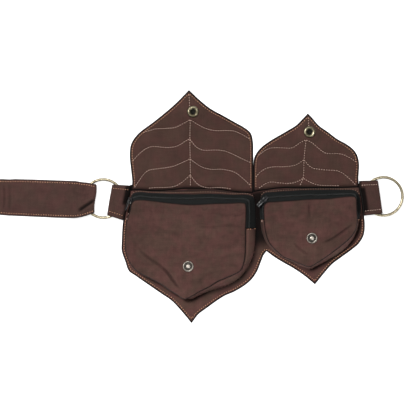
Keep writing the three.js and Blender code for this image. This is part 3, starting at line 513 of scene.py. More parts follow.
def triangles_in(outline, pitch):
    """Even triangles inside an edge, with rows of points along it."""
    rows = [outline] + [inset(outline, depth) for depth in RIMS]
    low, high = outline.min(axis=0), outline.max(axis=0)
    rise = pitch * math.sqrt(3) / 2
    across = np.arange(low[0], high[0], pitch)
    grid = [
        np.stack([across + (pitch / 2) * (row % 2), np.full(len(across), y)], axis=1)
        for row, y in enumerate(np.arange(low[1], high[1], rise))
    ]
    grid = np.vstack(grid)
    grid = grid[inside(grid, outline)]
    away, _ = off_line(grid, outline, closed=True)
    rows.append(grid[away > RIMS[-1] + pitch / 2])
    points = np.vstack(rows)
    count = len(outline)
    edges = [(i, (i + 1) % count) for i in range(count)]
    made = delaunay_2d_cdt([Vector(p) for p in points], edges, [], 1, 1e-5)
    return np.array([tuple(p) for p in made[0]]), np.array(made[2])


def shell(points, faces, top, bottom):
    """Both sides of a panel and the edge between them."""
    turn = points[faces]
    cross = np.cross(turn[:, 1] - turn[:, 0], turn[:, 2] - turn[:, 0])
    faces = np.where(cross[:, None] > 0, faces, faces[:, ::-1])
    edges = np.concatenate([faces[:, [0, 1]], faces[:, [1, 2]], faces[:, [2, 0]]])
    outer = {tuple(e) for e in edges.tolist()} - {tuple(e) for e in edges[:, ::-1].tolist()}
    count = len(points)
    quads = [(b, a, a + count, b + count) for a, b in sorted(outer)]
    made = faces.tolist() + (faces[:, ::-1] + count).tolist() + quads
    both = np.vstack([np.column_stack([points, top]), np.column_stack([points, bottom])])
    return both, made


def sheet_mesh(face, back):
    """Points and faces of a sheet with a thickness, from two grids of rows and columns."""
    rows, columns = face.shape[:2]
    top, last = rows - 1, columns - 1

    def at(side, r, c):
        return (side * rows + r) * columns + c

    faces = []
    for c in range(last):
        for r in range(top):
            faces.append((at(0, r, c), at(0, r, c + 1), at(0, r + 1, c + 1), at(0, r + 1, c)))
            faces.append((at(1, r, c), at(1, r + 1, c), at(1, r + 1, c + 1), at(1, r, c + 1)))
        faces.append((at(0, 0, c + 1), at(0, 0, c), at(1, 0, c), at(1, 0, c + 1)))
        faces.append((at(0, top, c), at(0, top, c + 1), at(1, top, c + 1), at(1, top, c)))
    for r in range(top):
        faces.append((at(0, r, 0), at(0, r + 1, 0), at(1, r + 1, 0), at(1, r, 0)))
        faces.append((at(0, r + 1, last), at(0, r, last), at(1, r, last), at(1, r + 1, last)))
    points = np.vstack([face.reshape(-1, 3), back.reshape(-1, 3)])
    return points, facing_out(points, faces)


def facing_out(points, faces):
    a, b, c, d = (points[[face[k] for face in faces]] for k in range(4))
    volume = (a * np.cross(b, c)).sum() + (a * np.cross(c, d)).sum()
    return faces if volume > 0 else [face[::-1] for face in faces]


def grid_lengths(grid):
    """Place on the cloth of each point of a grid: along its columns and its rows."""
    middle = grid[grid.shape[0] // 2]
    along = lengths(middle)
    across = np.stack([lengths(grid[:, c]) for c in range(grid.shape[1])], axis=1)
    return np.stack([np.broadcast_to(along, across.shape), across], axis=2).reshape(-1, 2)


class Ground:
    """A finished piece, to find the height of its upper side."""

    def __init__(self, piece):
        data = piece.data
        points = [v.co / MM for v in data.vertices]
        self.tree = BVHTree.FromPolygons(points, [tuple(p.vertices) for p in data.polygons])

    def under(self, points):
        """Places and normals of the piece under flat points."""
        down = Vector((0, 0, -1))
        places, normals = [], []
        for x, y in points + SHIFT[:2]:
            hit, normal, _, _ = self.tree.ray_cast(Vector((x, y, 60)), down)
            if hit is None:
                hit, normal, _, _ = self.tree.find_nearest(Vector((x, y, 5)))
            places.append(np.array(hit) - SHIFT)
            normals.append(np.array(normal) * (1 if normal.z > 0 else -1))
        return np.array(places), np.array(normals)


def capsules(centres, alongs, ups, length, radius):
    """Short round rods, each with its ends bent down: stitches, or the turns of a zip's coil."""
    alongs = alongs / np.linalg.norm(alongs, axis=1)[:, None]
    sides = np.cross(ups, alongs)
    sides /= np.linalg.norm(sides, axis=1)[:, None]
    ups = np.cross(alongs, sides)
    turns = np.arange(CAPSULE_SIDES) * (2 * math.pi / CAPSULE_SIDES)
    rings = []
    for share, size, lift in CAPSULE:
        middle = centres + alongs * (share * length) + ups * (lift * radius)
        ring = middle[:, None] + radius * size * (
            np.cos(turns)[None, :, None] * sides[:, None] + np.sin(turns)[None, :, None] * ups[:, None])
        rings.append(ring)
    points = np.stack(rings, axis=1)
    count, levels = points.shape[:2]
    faces = []
    for n in range(count):
        start = n * levels * CAPSULE_SIDES
        for level in range(levels - 1):
            for k in range(CAPSULE_SIDES):
                a = start + level * CAPSULE_SIDES + k
                b = start + level * CAPSULE_SIDES + (k + 1) % CAPSULE_SIDES
                faces.append((a, a + CAPSULE_SIDES, b + CAPSULE_SIDES, b))
        faces.append(tuple(start + k for k in range(CAPSULE_SIDES)))
        last = start + (levels - 1) * CAPSULE_SIDES
        faces.append(tuple(last + CAPSULE_SIDES - 1 - k for k in range(CAPSULE_SIDES)))
    return points.reshape(-1, 3), faces


def sewn(name, ground, lines, look):
    """Rows of stitches on the upper side of a piece."""
    parts = []
    for line in lines:
        knots = even(line, STITCH_PITCH)
        places, normals = ground.under((knots[:-1] + knots[1:]) / 2)
        ends = np.diff(knots, axis=0)
        alongs = np.column_stack([ends, np.zeros(len(ends))])
        alongs -= (alongs * normals).sum(axis=1)[:, None] * normals
        parts.append((places, alongs, normals))
    places, alongs, normals = (np.vstack([part[k] for part in parts]) for k in range(3))
    raised = places + normals * STITCH_RADIUS * 0.3
    points, faces = capsules(raised, alongs, normals, STITCH_LENGTH, STITCH_RADIUS)
    return build(name, points, faces, look)


# Materials


class Term:
    """A socket in a material, so that sums of sockets are written as sums."""

    def __init__(self, paint, socket):
        self.paint = paint
        self.socket = socket

    def sum(self, operation, *values):
        return self.paint.node("ShaderNodeMath", {"operation": operation}, list(values))

    def __add__(self, other):
        return self.sum("ADD", self, other)

    def __sub__(self, other):
        return self.sum("SUBTRACT", self, other)

    def __rsub__(self, other):
        return self.sum("SUBTRACT", other, self)

    def __mul__(self, other):
        return self.sum("MULTIPLY", self, other)

    __radd__ = __add__
    __rmul__ = __mul__

    def sine(self):
        return self.sum("SINE", self)

    def size(self):
        return self.sum("ABSOLUTE", self)

    def between(self, low, high):
        """0 below low, 1 above high and smooth between them."""
        values = {"Value": self, "From Min": low, "From Max": high}
        return self.paint.node("ShaderNodeMapRange", {"interpolation_type": "SMOOTHSTEP"}, values)


# Sockets of a Mix node for colours
MIX_FIRST = 6
MIX_SECOND = 7
MIX_RESULT = 2


class Paint:
    """A material, built from its shader's values and from terms."""

    def __init__(self, name, **values):
        self.made = bpy.data.materials.new(name)
        self.made.use_nodes = True
        self.tree = self.made.node_tree
        self.shader = self.tree.nodes["Principled BSDF"]
        for key, value in values.items():
            self.feed(self.shader.inputs[key.replace("_", " ").title().replace("Ior", "IOR")], value)

    def feed(self, socket, value):
        if isinstance(value, Term):
            self.tree.links.new(value.socket, socket)
        elif isinstance(value, (tuple, list)) and len(value) == 3 and socket.type == "RGBA":
            socket.default_value = (*value, 1)
        else:
            socket.default_value = value

    def node(self, kind, settings, values, output=0):
        made = self.tree.nodes.new(kind)
        for key, value in settings.items():
            setattr(made, key, value)
        for key, value in values.items() if isinstance(values, dict) else enumerate(values):
            self.feed(made.inputs[key], value)
        return Term(self, made.outputs[output])

    def place(self):
        return self.node("ShaderNodeTexCoord", {}, {}, "Object")

    def on_cloth(self):
        """Place along and across the cloth, in threads' own metres."""
        return self.split(self.node("ShaderNodeUVMap", {"uv_map": "cloth"}, {}))

    def split(self, vector):
        made = self.tree.nodes.new("ShaderNodeSeparateXYZ")
        self.feed(made.inputs[0], vector)
        return [Term(self, out) for out in made.outputs]

    def joined(self, x, y, z=0):
        return self.node("ShaderNodeCombineXYZ", {}, [x, y, z])

    def tone(self):
        return self.node("ShaderNodeAttribute", {"attribute_name": "tone"}, {}, "Fac")

    def noise(self, at, scale, detail=2):
        return self.node("ShaderNodeTexNoise", {}, {"Vector": at, "Scale": scale, "Detail": detail})

    def mix(self, share, first, second, blend="MIX"):
        settings = {"data_type": "RGBA", "blend_type": blend}
        values = {0: share, MIX_FIRST: first, MIX_SECOND: second}
        return self.node("ShaderNodeMix", settings, values, MIX_RESULT)

    def grey(self, value):
        return self.joined(value, value, value)

    def surface(self, colour=None, roughness=None, metallic=None, height=None, strength=0.5, depth=0.0003):
        for key, value in (("Base Color", colour), ("Roughness", roughness), ("Metallic", metallic)):
            if value is not None:
                self.feed(self.shader.inputs[key], value)
        if height is not None:
            values = {"Strength": strength, "Distance": depth, "Height": height}
            self.feed(self.shader.inputs["Normal"], self.node("ShaderNodeBump", {}, values))
        return self.made


def cloth(name, red, olive, light):
    """Woven cotton, mottled between two browns, darker where the piece's tone says so: painted shade and
    light, and the cloth's own random tone.
    """
    paint = Paint(name, specular_ior_level=0.14, sheen_weight=0.07, sheen_roughness=0.5)
    paint.feed(paint.shader.inputs["Sheen Tint"], (1.0, 0.86, 0.8))
    place = paint.place()
    u, v, _ = paint.on_cloth()
    pulled = paint.joined(u * 60, v * 900)
    crossing = paint.joined(u * 900, v * 60)
    patches = paint.noise(place, 75, 3).between(0.36, 0.64)
    blotches = paint.noise(place, 170, 2)
    slubs = paint.noise(pulled, 1, 2) + paint.noise(crossing, 1, 2)
    grain = paint.noise(place, 1100, 2)
    warp = (u * (math.pi / THREAD_PITCH)).sine()
    weft = (v * (math.pi / THREAD_PITCH)).sine()
    weave = (warp * weft).size()
    shade = (0.4 + slubs * 0.31 + blotches * 0.37 + grain * 0.44 - weave * 0.1) * paint.tone() * light
    colour = paint.mix(1.0, paint.mix(patches, red, olive), paint.grey(shade), "MULTIPLY")
    roughness = 0.78 + 0.18 * blotches
    height = weave * 0.55 + slubs * 0.5 + grain * 0.25
    return paint.surface(colour, roughness, height=height, strength=0.42, depth=0.00022)


def thread(name, colour):
    """Twisted sewing thread."""
    paint = Paint(name, specular_ior_level=0.35, sheen_weight=0.2)
    place = paint.place()
    twist = paint.noise(place, 2600, 1)
    shade = 0.75 + 0.5 * paint.noise(place, 300, 1)
    made = paint.mix(1.0, colour, paint.grey(shade), "MULTIPLY")
    return paint.surface(made, 0.6 + 0.2 * twist, height=twist, strength=0.3, depth=0.0001)


def zip_tape():
    """Greenish black woven tape with fine ribs along its length."""
    paint = Paint("zip_tape", specular_ior_level=0.2, sheen_weight=0.06)
    place = paint.place()
    u, v, _ = paint.on_cloth()
    ribs = (v * (math.pi / 0.0008)).sine().size()
    picks = (u * (math.pi / 0.00055)).sine().size()
    patches = paint.noise(place, 90, 3)
    shade = (0.7 + 0.35 * patches + 0.25 * ribs - 0.15 * picks) * paint.tone()
    colour = paint.mix(1.0, (0.0088, 0.0101, 0.0096), paint.grey(shade), "MULTIPLY")
    height = ribs * 0.7 + picks * 0.5
    return paint.surface(colour, 0.62 + 0.2 * patches, height=height, strength=0.5, depth=0.0002)


def nylon():
    """The zip's coil."""
    paint = Paint("zip_coil", specular_ior_level=0.5)
    wear_and_shade = paint.noise(paint.place(), 700, 2)
    colour = paint.mix(wear_and_shade, (0.014, 0.0165, 0.016), (0.034, 0.038, 0.036))
    return paint.surface(colour, 0.35 + 0.2 * wear_and_shade, height=wear_and_shade, strength=0.2, depth=0.0001)


def lacquered():
    """Black lacquered zip metal, rubbed to grey metal here and there."""
    paint = Paint("zip_metal", specular_ior_level=0.6, coat_weight=0.4, coat_roughness=0.15)
    place = paint.place()
    rubbed = paint.noise(place, 420, 4).between(0.56, 0.7)
    fine = paint.noise(place, 2200, 2)
    colour = paint.mix(rubbed, (0.018, 0.018, 0.02), (0.42, 0.41, 0.39))
    roughness, metallic = 0.26 + 0.25 * fine, 0.35 + rubbed * 0.6
    return paint.surface(colour, roughness, metallic, height=fine, strength=0.15, depth=0.0001)


def aged_metal(name, bright, dull, rough, share):
    """Antique plated metal: bright where rubbed, dull with patina elsewhere, finely scratched, and lighter or
    darker by the piece's tone of painted light and shade.
    """
    paint = Paint(name)
    place = paint.place()
    patina = paint.noise(place, 260, 4).between(share - 0.16, share + 0.16)
    scratches = paint.noise(place, 3200, 2)
    pits = paint.noise(place, 900, 3)
    colour = paint.mix(1.0, paint.mix(patina, bright, dull), paint.grey(paint.tone()), "MULTIPLY")
    roughness = rough + patina * 0.22 + (scratches - 0.5) * 0.16
    height = pits * 0.6 + scratches * 0.4
    return paint.surface(colour, roughness, 0.95 - patina * 0.18, height=height, strength=0.18, depth=0.0001)


def painted_eye_shade():
    """Painted shade for the inside of a snap's eye: near black, finely mottled."""
    paint = Paint("snap_eye_shade", specular_ior_level=0.2)
    shade_mottle = paint.noise(paint.place(), 1200, 3)
    colour = paint.mix(shade_mottle, (0.006, 0.006, 0.005), (0.02, 0.017, 0.012))
    return paint.surface(colour, 0.7 + 0.2 * shade_mottle)


FLAP_LOOK = cloth("flap_cloth", (0.091, 0.0435, 0.036), (0.081, 0.0445, 0.0345), 0.9)
FRONT_LOOK = cloth("front_cloth", (0.108, 0.0495, 0.0425), (0.091, 0.0495, 0.039), 0.98)
LEAF_LOOK = cloth("leaf_cloth", (0.105, 0.0475, 0.041), (0.091, 0.05, 0.0385), 1.12)
STRAP_LOOK = cloth("strap_cloth", (0.093, 0.0445, 0.0385), (0.083, 0.0455, 0.037), 0.92)
VEIN_THREAD = thread("tan_thread", (0.86, 0.58, 0.47))
EDGE_THREAD = thread("orange_thread", (0.78, 0.39, 0.23))
HEM_THREAD = thread("brown_thread", (0.34, 0.2, 0.14))
TAPE_LOOK = zip_tape()
COIL_LOOK = nylon()
ZIP_METAL = lacquered()
RING_BRASS = aged_metal("ring_brass", (0.74, 0.65, 0.45), (0.4, 0.33, 0.2), 0.34, 0.56)
SNAP_BRASS = aged_metal("snap_brass", (0.44, 0.39, 0.26), (0.15, 0.125, 0.075), 0.34, 0.5)
PEWTER = aged_metal("stud_pewter", (0.62, 0.56, 0.49), (0.3, 0.26, 0.22), 0.42, 0.56)
EYE_SHADE = painted_eye_shade()


# Flat panels


def edge_height(away, thickness):
    """Thickness of a turned and topstitched edge: a thin lip, painted dark as shade, a rounded fold and a
    groove.
    """
    lower = 0.42 * thickness * np.sqrt(np.clip(away / 0.5, 0, 1))
    rolled = np.sqrt(np.clip((away - EDGE_LIP) / 1.1, 0, 1))
    return lower + (0.58 * thickness) * rolled - 0.3 * dip(away, SEAM_INSET, 0.6)


# Painted shade: the lip along a panel's edge is near black, as the turned edge's shadow.
def edge_shade(away):
    return 0.05 + 0.95 * step_up(away, EDGE_LIP - 0.2, EDGE_LIP + 0.7)


def dip(value, middle, half):
    """1 at the middle and 0 away from it, soft: the shape of a groove or a ridge."""
    return np.exp(-(((value - middle) / half) ** 2))


def to_seam(line, edge):
    """A vein that runs on to the edge's topstitch when it ends close to it."""
    if off_line(line[-1:], edge, closed=True)[0][0] > 3 * SEAM_INSET:
        return line
    step = (line[-1] - line[-3]) / np.linalg.norm(line[-1] - line[-3])
    longer = np.vstack([line, line[-1] + np.outer(np.arange(0.8, 7, 0.8), step)])
    kept = inside(longer, edge) & (off_line(longer, edge, closed=True)[0] > SEAM_INSET)
    return longer[: max(len(line) - 3, int(np.argmin(np.r_[kept, False])))]


def flap(pocket):
    """An open flap: a leaf of quilted cloth with stitched veins and a raised place for its snap."""
    name = pocket["name"]
    place = flap_place(pocket)
    edge = anticlockwise(closed_edge(pocket["flap_edge"], place, EDGE_STEP))
    points, faces = triangles_in(edge, PANEL_STEP)
    away, _ = off_line(points, edge, closed=True)
    snap = place(pocket["flap_snap"])
    from_snap = np.linalg.norm(points - snap, axis=1)
    veins = [to_seam(smooth(picture(line), 0.8), edge) for line in VEINS[name]]
    near = np.min([off_line(points, vein)[0] for vein in veins], axis=0)
    near = np.minimum(near, np.maximum(away - SEAM_INSET, 0) + 0.3)
    puff = 0.55 * (1 - dip(near, 0, 3.2))
    channel = 0.32 * dip(near, 0, 0.55)
    pucker = 0.16 * waves(points, 4.5, 11) * np.exp(-near / 5) + 0.3 * waves(points, 26, 12)
    root = smooth(place(np.array(pocket["flap_edge"][2])), EDGE_STEP)
    from_root, _ = off_line(points, root)
    raised = SNAP_RAISE * (1 - step_up(from_snap, CAP_RADIUS + 1.2, 2.5 * CAP_RADIUS))
    raised = raised + ROOT_RAISE * (1 - step_up(from_root, 4.8, 12))
    level = 1 - step_up(from_snap, SOCKET_RADIUS + 1.5, SOCKET_RADIUS + 4)
    fade = step_up(away, 0.5, 4)
    relief = (puff + pucker) * fade * (1 - level) - channel * fade
    top = edge_height(away, FLAP) + raised + relief
    # Painted shade in the tone: the dark lip, darker along the stitched veins, darkest at the root in the
    # crevice above the hem, and a darker underside. The waves are the cloth's own random tone.
    tone = edge_shade(away) * (1 - 0.28 * dip(near, 0, 0.7) * fade) * (1 + 0.1 * waves(points, 18, 13))
    tone = tone * (1 - 0.85 * dip(from_root, 0, 2.9))
    solid, both = shell(points, faces, top, raised)
    piece = build(f"{name}_flap_cloth", solid, both, FLAP_LOOK, replaces=[f"{name}_flap"],
                  tone=np.r_[tone, tone * UNDERSIDE_SHADE])
    stitched = sewn(f"{name}_flap_veins", Ground(piece), veins, VEIN_THREAD)
    line = seam_line(edge)
    topstitch = runs(line, off_line(line, root)[0] > SEAM_INSET + 1.5)
    row = sewn(f"{name}_flap_topstitch", Ground(piece), topstitch, EDGE_THREAD)
    area_of(edge)


def area_of(outline):
    x, y = outline.T
    return abs((x * np.roll(y, -1) - y * np.roll(x, -1)).sum()) / 2 * MM**2


def seam_line(edge):
    """The line of a topstitch all round a closed edge."""
    line = inset(edge, SEAM_INSET)
    return np.vstack([line, line[:1]])


def runs(line, sewn_here):
    """The parts of a line that are sewn."""
    rows, start = [], None
    for i, sewed in enumerate(np.r_[sewn_here, False]):
        if sewed and start is None:
            start = i
        elif not sewed and start is not None:
            if i - start > 3:
                rows.append(line[start:i])
            start = None
    return rows


# The backing's top edge under the flap roots, from right to left
ROOT_LINE = [
    (122.3, 16.5), (118, 15), (60, 14.5), (30, 12.5), (8, 10.5), (-10, 9.5), (-30, 11.5), (-60, 13),
    (-85, 13), (-110, 11.5), (-128, 11), (-137, 12.5), (-141, 15.5),
]


@functools.cache
def leaf_edge(step):
    """The backing's edge: two overlapping leaves with their tips down."""
    large = closed_edge(LARGE["leaf_edge"], leaf_place(LARGE), step)
    small = closed_edge(SMALL["leaf_edge"], leaf_place(SMALL), step)
    notch = leaf_place(LARGE)(LARGE["leaf_edge"][1][-1])
    end = leaf_place(SMALL)(SMALL["leaf_edge"][1][-1])
    top = even([end, *ROOT_LINE, large[0]], step)[:-1]
    return anticlockwise(np.vstack([large, notch, small, top]))


def off_pocket(points, pocket):
    """How far each point is from the foot of a pocket's side, and the direction away from it."""
    wall = Wall(pocket)
    foot = spline(wall.foot, np.linspace(0, wall.count, 6 * wall.count, endpoint=False), closed=True)
    away, at = off_line(points, foot, closed=True)
    ring = np.vstack([foot, foot[:1]])
    near = np.stack([np.interp(at, lengths(ring), column) for column in ring.T], axis=1)
    return away, (points - near) / np.maximum(away, 0.01)[:, None]


def pocket_shade(points):
    """Painted shade close to the pockets, where their shadows fall: most of all below them, right of them and
    between them.
    """
    tone, apart = 1.0, 0
    for pocket in POCKETS:
        away, out = off_pocket(points, pocket)
        weight = 0.14 + 0.86 * np.clip(out @ SHADE_SIDE, 0, 1)
        tone = tone * (1 - 0.93 * weight * dip(away, 0, 4.1))
        apart = apart + away
    return tone * (0.1 + 0.9 * step_up(apart, 8.5, 19))


def backing():
    """The flat panel behind both pockets, topstitched along its leaf edge."""
    edge = inset(leaf_edge(EDGE_STEP), -EDGE_SPREAD)
    points, faces = triangles_in(edge, 1.5)
    away, _ = off_line(points, edge, closed=True)
    fade = step_up(away, 0.5, 5)
    ripple = 0.22 * waves(points, 7, 21) * dip(away, 4, 5) * fade
    top = np.minimum(edge_height(away, BACKING) + ripple, BACKING + 0.15)
    # Painted shade in the tone: the dark lip and the pockets' shade round their feet, and a darker underside.
    # The waves are the cloth's own random tone.
    tone = edge_shade(away) * (1 + 0.12 * waves(points, 12, 22)) * pocket_shade(points)
    solid, both = shell(points, faces, top, np.zeros(len(points)))
    piece = build("backing_cloth", solid, both, LEAF_LOOK, replaces=["backing"],
                  tone=np.r_[tone, tone * UNDERSIDE_SHADE])
    line = seam_line(edge)
    row = sewn("backing_topstitch", Ground(piece), runs(line, line[:, 1] < TAB_FOOT), EDGE_THREAD)
    area_of(edge)


# Pocket sides


class Wall:
    """The side of a pocket, by station round it and share of its height."""

    def __init__(self, pocket):
        table = np.array(pocket["wall"], float)
        place = pocket_place(pocket)
        self.foot = place(table[:, 0:2])
        self.seam = place(table[:, 2:4])
        self.hem = table[:, 4]
        self.count = len(table)
        self.high = pocket["seam_height"]
        self.swell_at, self.swell = pocket["swell"]

    def point(self, station, share):
        station, share = np.broadcast_arrays(np.asarray(station, float), np.asarray(share, float))
        shape = station.shape
        station, share = station.ravel(), share.ravel()
        foot = spline(self.foot, station, closed=True)
        seam = spline(self.seam, station, closed=True)
        ahead, behind = (spline(self.foot, station + step, closed=True) for step in (0.01, -0.01))
        along = (ahead - behind) / np.linalg.norm(ahead - behind, axis=1)[:, None]
        turn = share * WALL_TURN
        across = ((1 - np.cos(turn)) / (1 - math.cos(WALL_TURN)))[:, None]
        rise = np.sin(turn) / math.sin(WALL_TURN)
        bulge = WALL_BULGE + self.swell * step_up(2.6 - np.abs(station - self.swell_at), 0, 2)
        swell = (bulge * np.sin(np.pi * share))[:, None]
        flat = foot + (seam - foot) * across + np.stack([-along[:, 1], along[:, 0]], axis=1) * swell
        low = BACKING + GAP
        return np.column_stack([flat, low + (self.high - low) * rise]).reshape(*shape, 3)

    def normal(self, station, share):
        small = 0.02
        share = np.asarray(share, float)
        above, below = np.minimum(share + small, 1), np.maximum(share - small, 0)
        along = self.point(station + small, share) - self.point(station - small, share)
        up = self.point(station, above) - self.point(station, below)
        made = np.cross(along, up)
        return made / np.linalg.norm(made, axis=-1)[..., None]

    def length(self, station):
        line = self.point(np.asarray(station, float)[:, None], np.linspace(0, 1, 7)[None])
        return np.linalg.norm(np.diff(line, axis=1), axis=2).sum(axis=1)

    def hem_share(self, station):
        return np.interp(np.mod(station, self.count), np.arange(self.count + 1), np.r_[self.hem, self.hem[0]])

    def foot_share(self, station):
        return np.zeros(len(station))

    def seam_share(self, station):
        return np.ones(len(station))


def wall_band(wall, start, end, step, lower, upper, thickness, rows, relief):
    """Grids of a band of the wall, with relief(share of the band, length along it) on its face."""
    probe = np.linspace(start, end, 200)
    mid = wall.point(probe, 0.5)
    along = lengths(mid)
    stations = np.interp(np.linspace(0, along[-1], round(along[-1] / step)), along, probe)
    share = np.linspace(0, 1, rows)[:, None]
    low, high = lower(stations)[None], upper(stations)[None]
    at = low + (high - low) * share
    station = np.broadcast_to(stations, at.shape)
    face = wall.point(station, at)
    normal = wall.normal(station, at)
    run = np.broadcast_to(np.linspace(0, along[-1], len(stations)), at.shape)
    rounded = 1 - 0.75 * (np.abs(2 * share - 1) ** 14)
    back = face - normal * thickness * rounded[..., None]
    lift = relief(np.broadcast_to(share, at.shape), run) - 0.35 * thickness * (1 - rounded)
    face = face + normal * lift[..., None]
    floor = BACKING + 0.15
    back[..., 2] = np.maximum(back[..., 2], floor)
    face[..., 2] = np.maximum(face[..., 2], floor)
    return face, back, normal


def band_piece(name, face, back, look, replaces, tone, rests_on=()):
    points, faces = sheet_mesh(face, back)
    around = grid_lengths(face)
    piece = build(name, points, faces, look, replaces=replaces, around=np.vstack([around, around]),
                  tone=np.r_[tone.ravel(), tone.ravel() * UNDERSIDE_SHADE])
    across = np.mean([lengths(face[:, c])[-1] for c in range(0, face.shape[1], 5)])
    along = np.mean([lengths(face[r])[-1] for r in range(face.shape[0])])
    return piece


def bar_tack(x, y):
    """Four short stitches side by side at a picture point."""
    return [picture([(x - 0.9, y + row), (x + 0.9, y + row)]) for row in (-0.6, -0.2, 0.2, 0.6)]


END_ROWS = {
    "large": [picture([(246.6, 229), (256.4, 228.6)])],
    "small": [picture([(260.5, 219.8), (263.5, 219.8)]), picture([(357, 217.8), (361, 217.8)])],
}
TACKS = {
    "large": [*bar_tack(128, 219), *bar_tack(127.4, 210.8)],
    "small": [*bar_tack(261.8, 221), *bar_tack(358.8, 219.1)],
}


def gusset(pocket, wall):
    """The brown side of the pocket below the zip, puckered between its two seams."""
    name, seed = pocket["name"], pocket["gusset_seed"]

    def relief(share, run):
        flat = np.stack([run.ravel(), share.ravel() * 12], axis=1)
        pucker = waves(flat, 9, seed, (1, 2.5)).reshape(share.shape) * 0.5
        fine = waves(flat, 3.2, seed + 1, (1, 3)).reshape(share.shape) * 0.18
        inner = np.sin(np.pi * np.clip(share, 0, 1))
        piping = 0.3 * dip(share, 0.93, 0.05) + 0.25 * dip(share, 0.06, 0.05)
        return (pucker + fine) * inner + piping

    start, end = STATION_GAP, pocket["zip_start"] - STATION_GAP
    face, back, _ = wall_band(wall, start, end, 0.9, wall.foot_share, wall.seam_share, WALL, 15, relief)
    share = np.linspace(0, 1, 15)[:, None]
    # Painted light and shade: lighter overall against the gusset's shadow, darker at both seams, lighter in a
    # line below the upper seam, and darker low down near the other pocket, in the well between them.
    tone = 1.18 - 0.5 * dip(share, 0, 0.05) - 0.85 * dip(share, 1, 0.06) + 0.3 * dip(share, 0.82, 0.06)
    other = SMALL if pocket is LARGE else LARGE
    apart = off_pocket(face.reshape(-1, 3)[:, :2], other)[0].reshape(face.shape[:2])
    tone = tone * (1 - 0.75 * (1 - share) * (1 - step_up(apart, 5, 15)))
    piece = band_piece(f"{name}_gusset_cloth", face, back, LEAF_LOOK, [f"{name}_gusset"], tone)
    sewn(f"{name}_zip_end_stitches", Ground(piece), END_ROWS[name], EDGE_THREAD)
    sewn(f"{name}_bar_tacks", Ground(piece), TACKS[name], VEIN_THREAD)


def hem(pocket, wall):
    """The brown strip above the zip, folded over the tape and topstitched."""
    name = pocket["name"]
    some = np.flatnonzero(wall.hem > 0)

    def relief(share, run):
        flat = np.stack([run.ravel(), share.ravel() * 6], axis=1)
        return 0.25 * waves(flat, 11, 51).reshape(share.shape)

    face, back, normal = wall_band(
        wall, some[0], some[-1], 1.2, wall.foot_share, wall.hem_share, WALL, 9, relief)
    share = np.linspace(0, 1, 9)[:, None]
    # Painted shade: the strip is darker than the other cloth and darkest at its foot, in the crevice under
    # the flap roots.
    tone = np.broadcast_to(pocket["hem_shade"] * (1 - 0.9 * dip(share, 0, 0.42)), face.shape[:2])
    band_piece(f"{name}_hem_cloth", face, back, LEAF_LOOK, [f"{name}_hem"], tone)
    line, ups = face[HEM_ROW], normal[HEM_ROW]
    run = lengths(line)
    at = np.arange(STITCH_PITCH, run[-1] - STITCH_PITCH, STITCH_PITCH)
    centres = np.stack([np.interp(at, run, column) for column in line.T], axis=1)
    upwards = np.stack([np.interp(at, run, column) for column in ups.T], axis=1)
    alongs = np.gradient(centres, axis=0)
    points, faces = capsules(centres + upwards * 0.1, alongs, upwards, STITCH_LENGTH, STITCH_RADIUS)
    build(f"{name}_hem_topstitch", points, faces, HEM_THREAD)


def zip_tapes(pocket, wall):
    """The two tapes with the coil's turns between them."""
    name = pocket["name"]
    start, end = pocket["zip_start"] + STATION_GAP, wall.count - STATION_GAP
    slit = COIL_WIDTH / 2 + GAP

    def share_of(amount, stations):
        return amount / wall.length(stations)

    def relief(share, run):
        flat = np.stack([run.ravel(), share.ravel() * 5], axis=1)
        return 0.2 * waves(flat, 12, 61).reshape(share.shape)

    def back_low(stations):
        return np.maximum(TAPE_EDGE_SHARE, wall.hem_share(stations) + share_of(GAP, stations))

    def back_high(stations):
        return CHAIN_SHARE - share_of(slit, stations)

    def front_low(stations):
        return CHAIN_SHARE + share_of(slit, stations)

    for part, low, high in (("back", back_low, back_high), ("front", front_low, wall.seam_share)):
        face, back, _ = wall_band(wall, start, end, 1, low, high, TAPE, 9, relief)
        band_piece(f"{name}_{part}_tape", face, back, TAPE_LOOK, [f"{name}_zip_{part}_tape"],
                   np.ones(face.shape[:2]))
    probe = np.linspace(start, end, 300)
    run = lengths(wall.point(probe, CHAIN_SHARE))
    at = np.arange(0.8, run[-1] - 0.8, COIL_PITCH)
    stations = np.interp(at, run, probe)
    centres = wall.point(stations, CHAIN_SHARE)
    ups = wall.normal(stations, CHAIN_SHARE)
    alongs = np.gradient(centres, axis=0)
    alongs /= np.linalg.norm(alongs, axis=1)[:, None]
    sides = np.cross(ups, alongs)
    odd = np.where(np.arange(len(at)) % 2 == 0, 1.0, -1.0)[:, None]
    rods = sides + alongs * COIL_SLANT * odd
    points, faces = capsules(centres + sides * COIL_ZIGZAG * odd, rods, ups, COIL_WIDTH, COIL_RADIUS)
    build(f"{name}_zip_teeth", points, faces, COIL_LOOK, replaces=[f"{name}_zip_coil"])


# Fronts


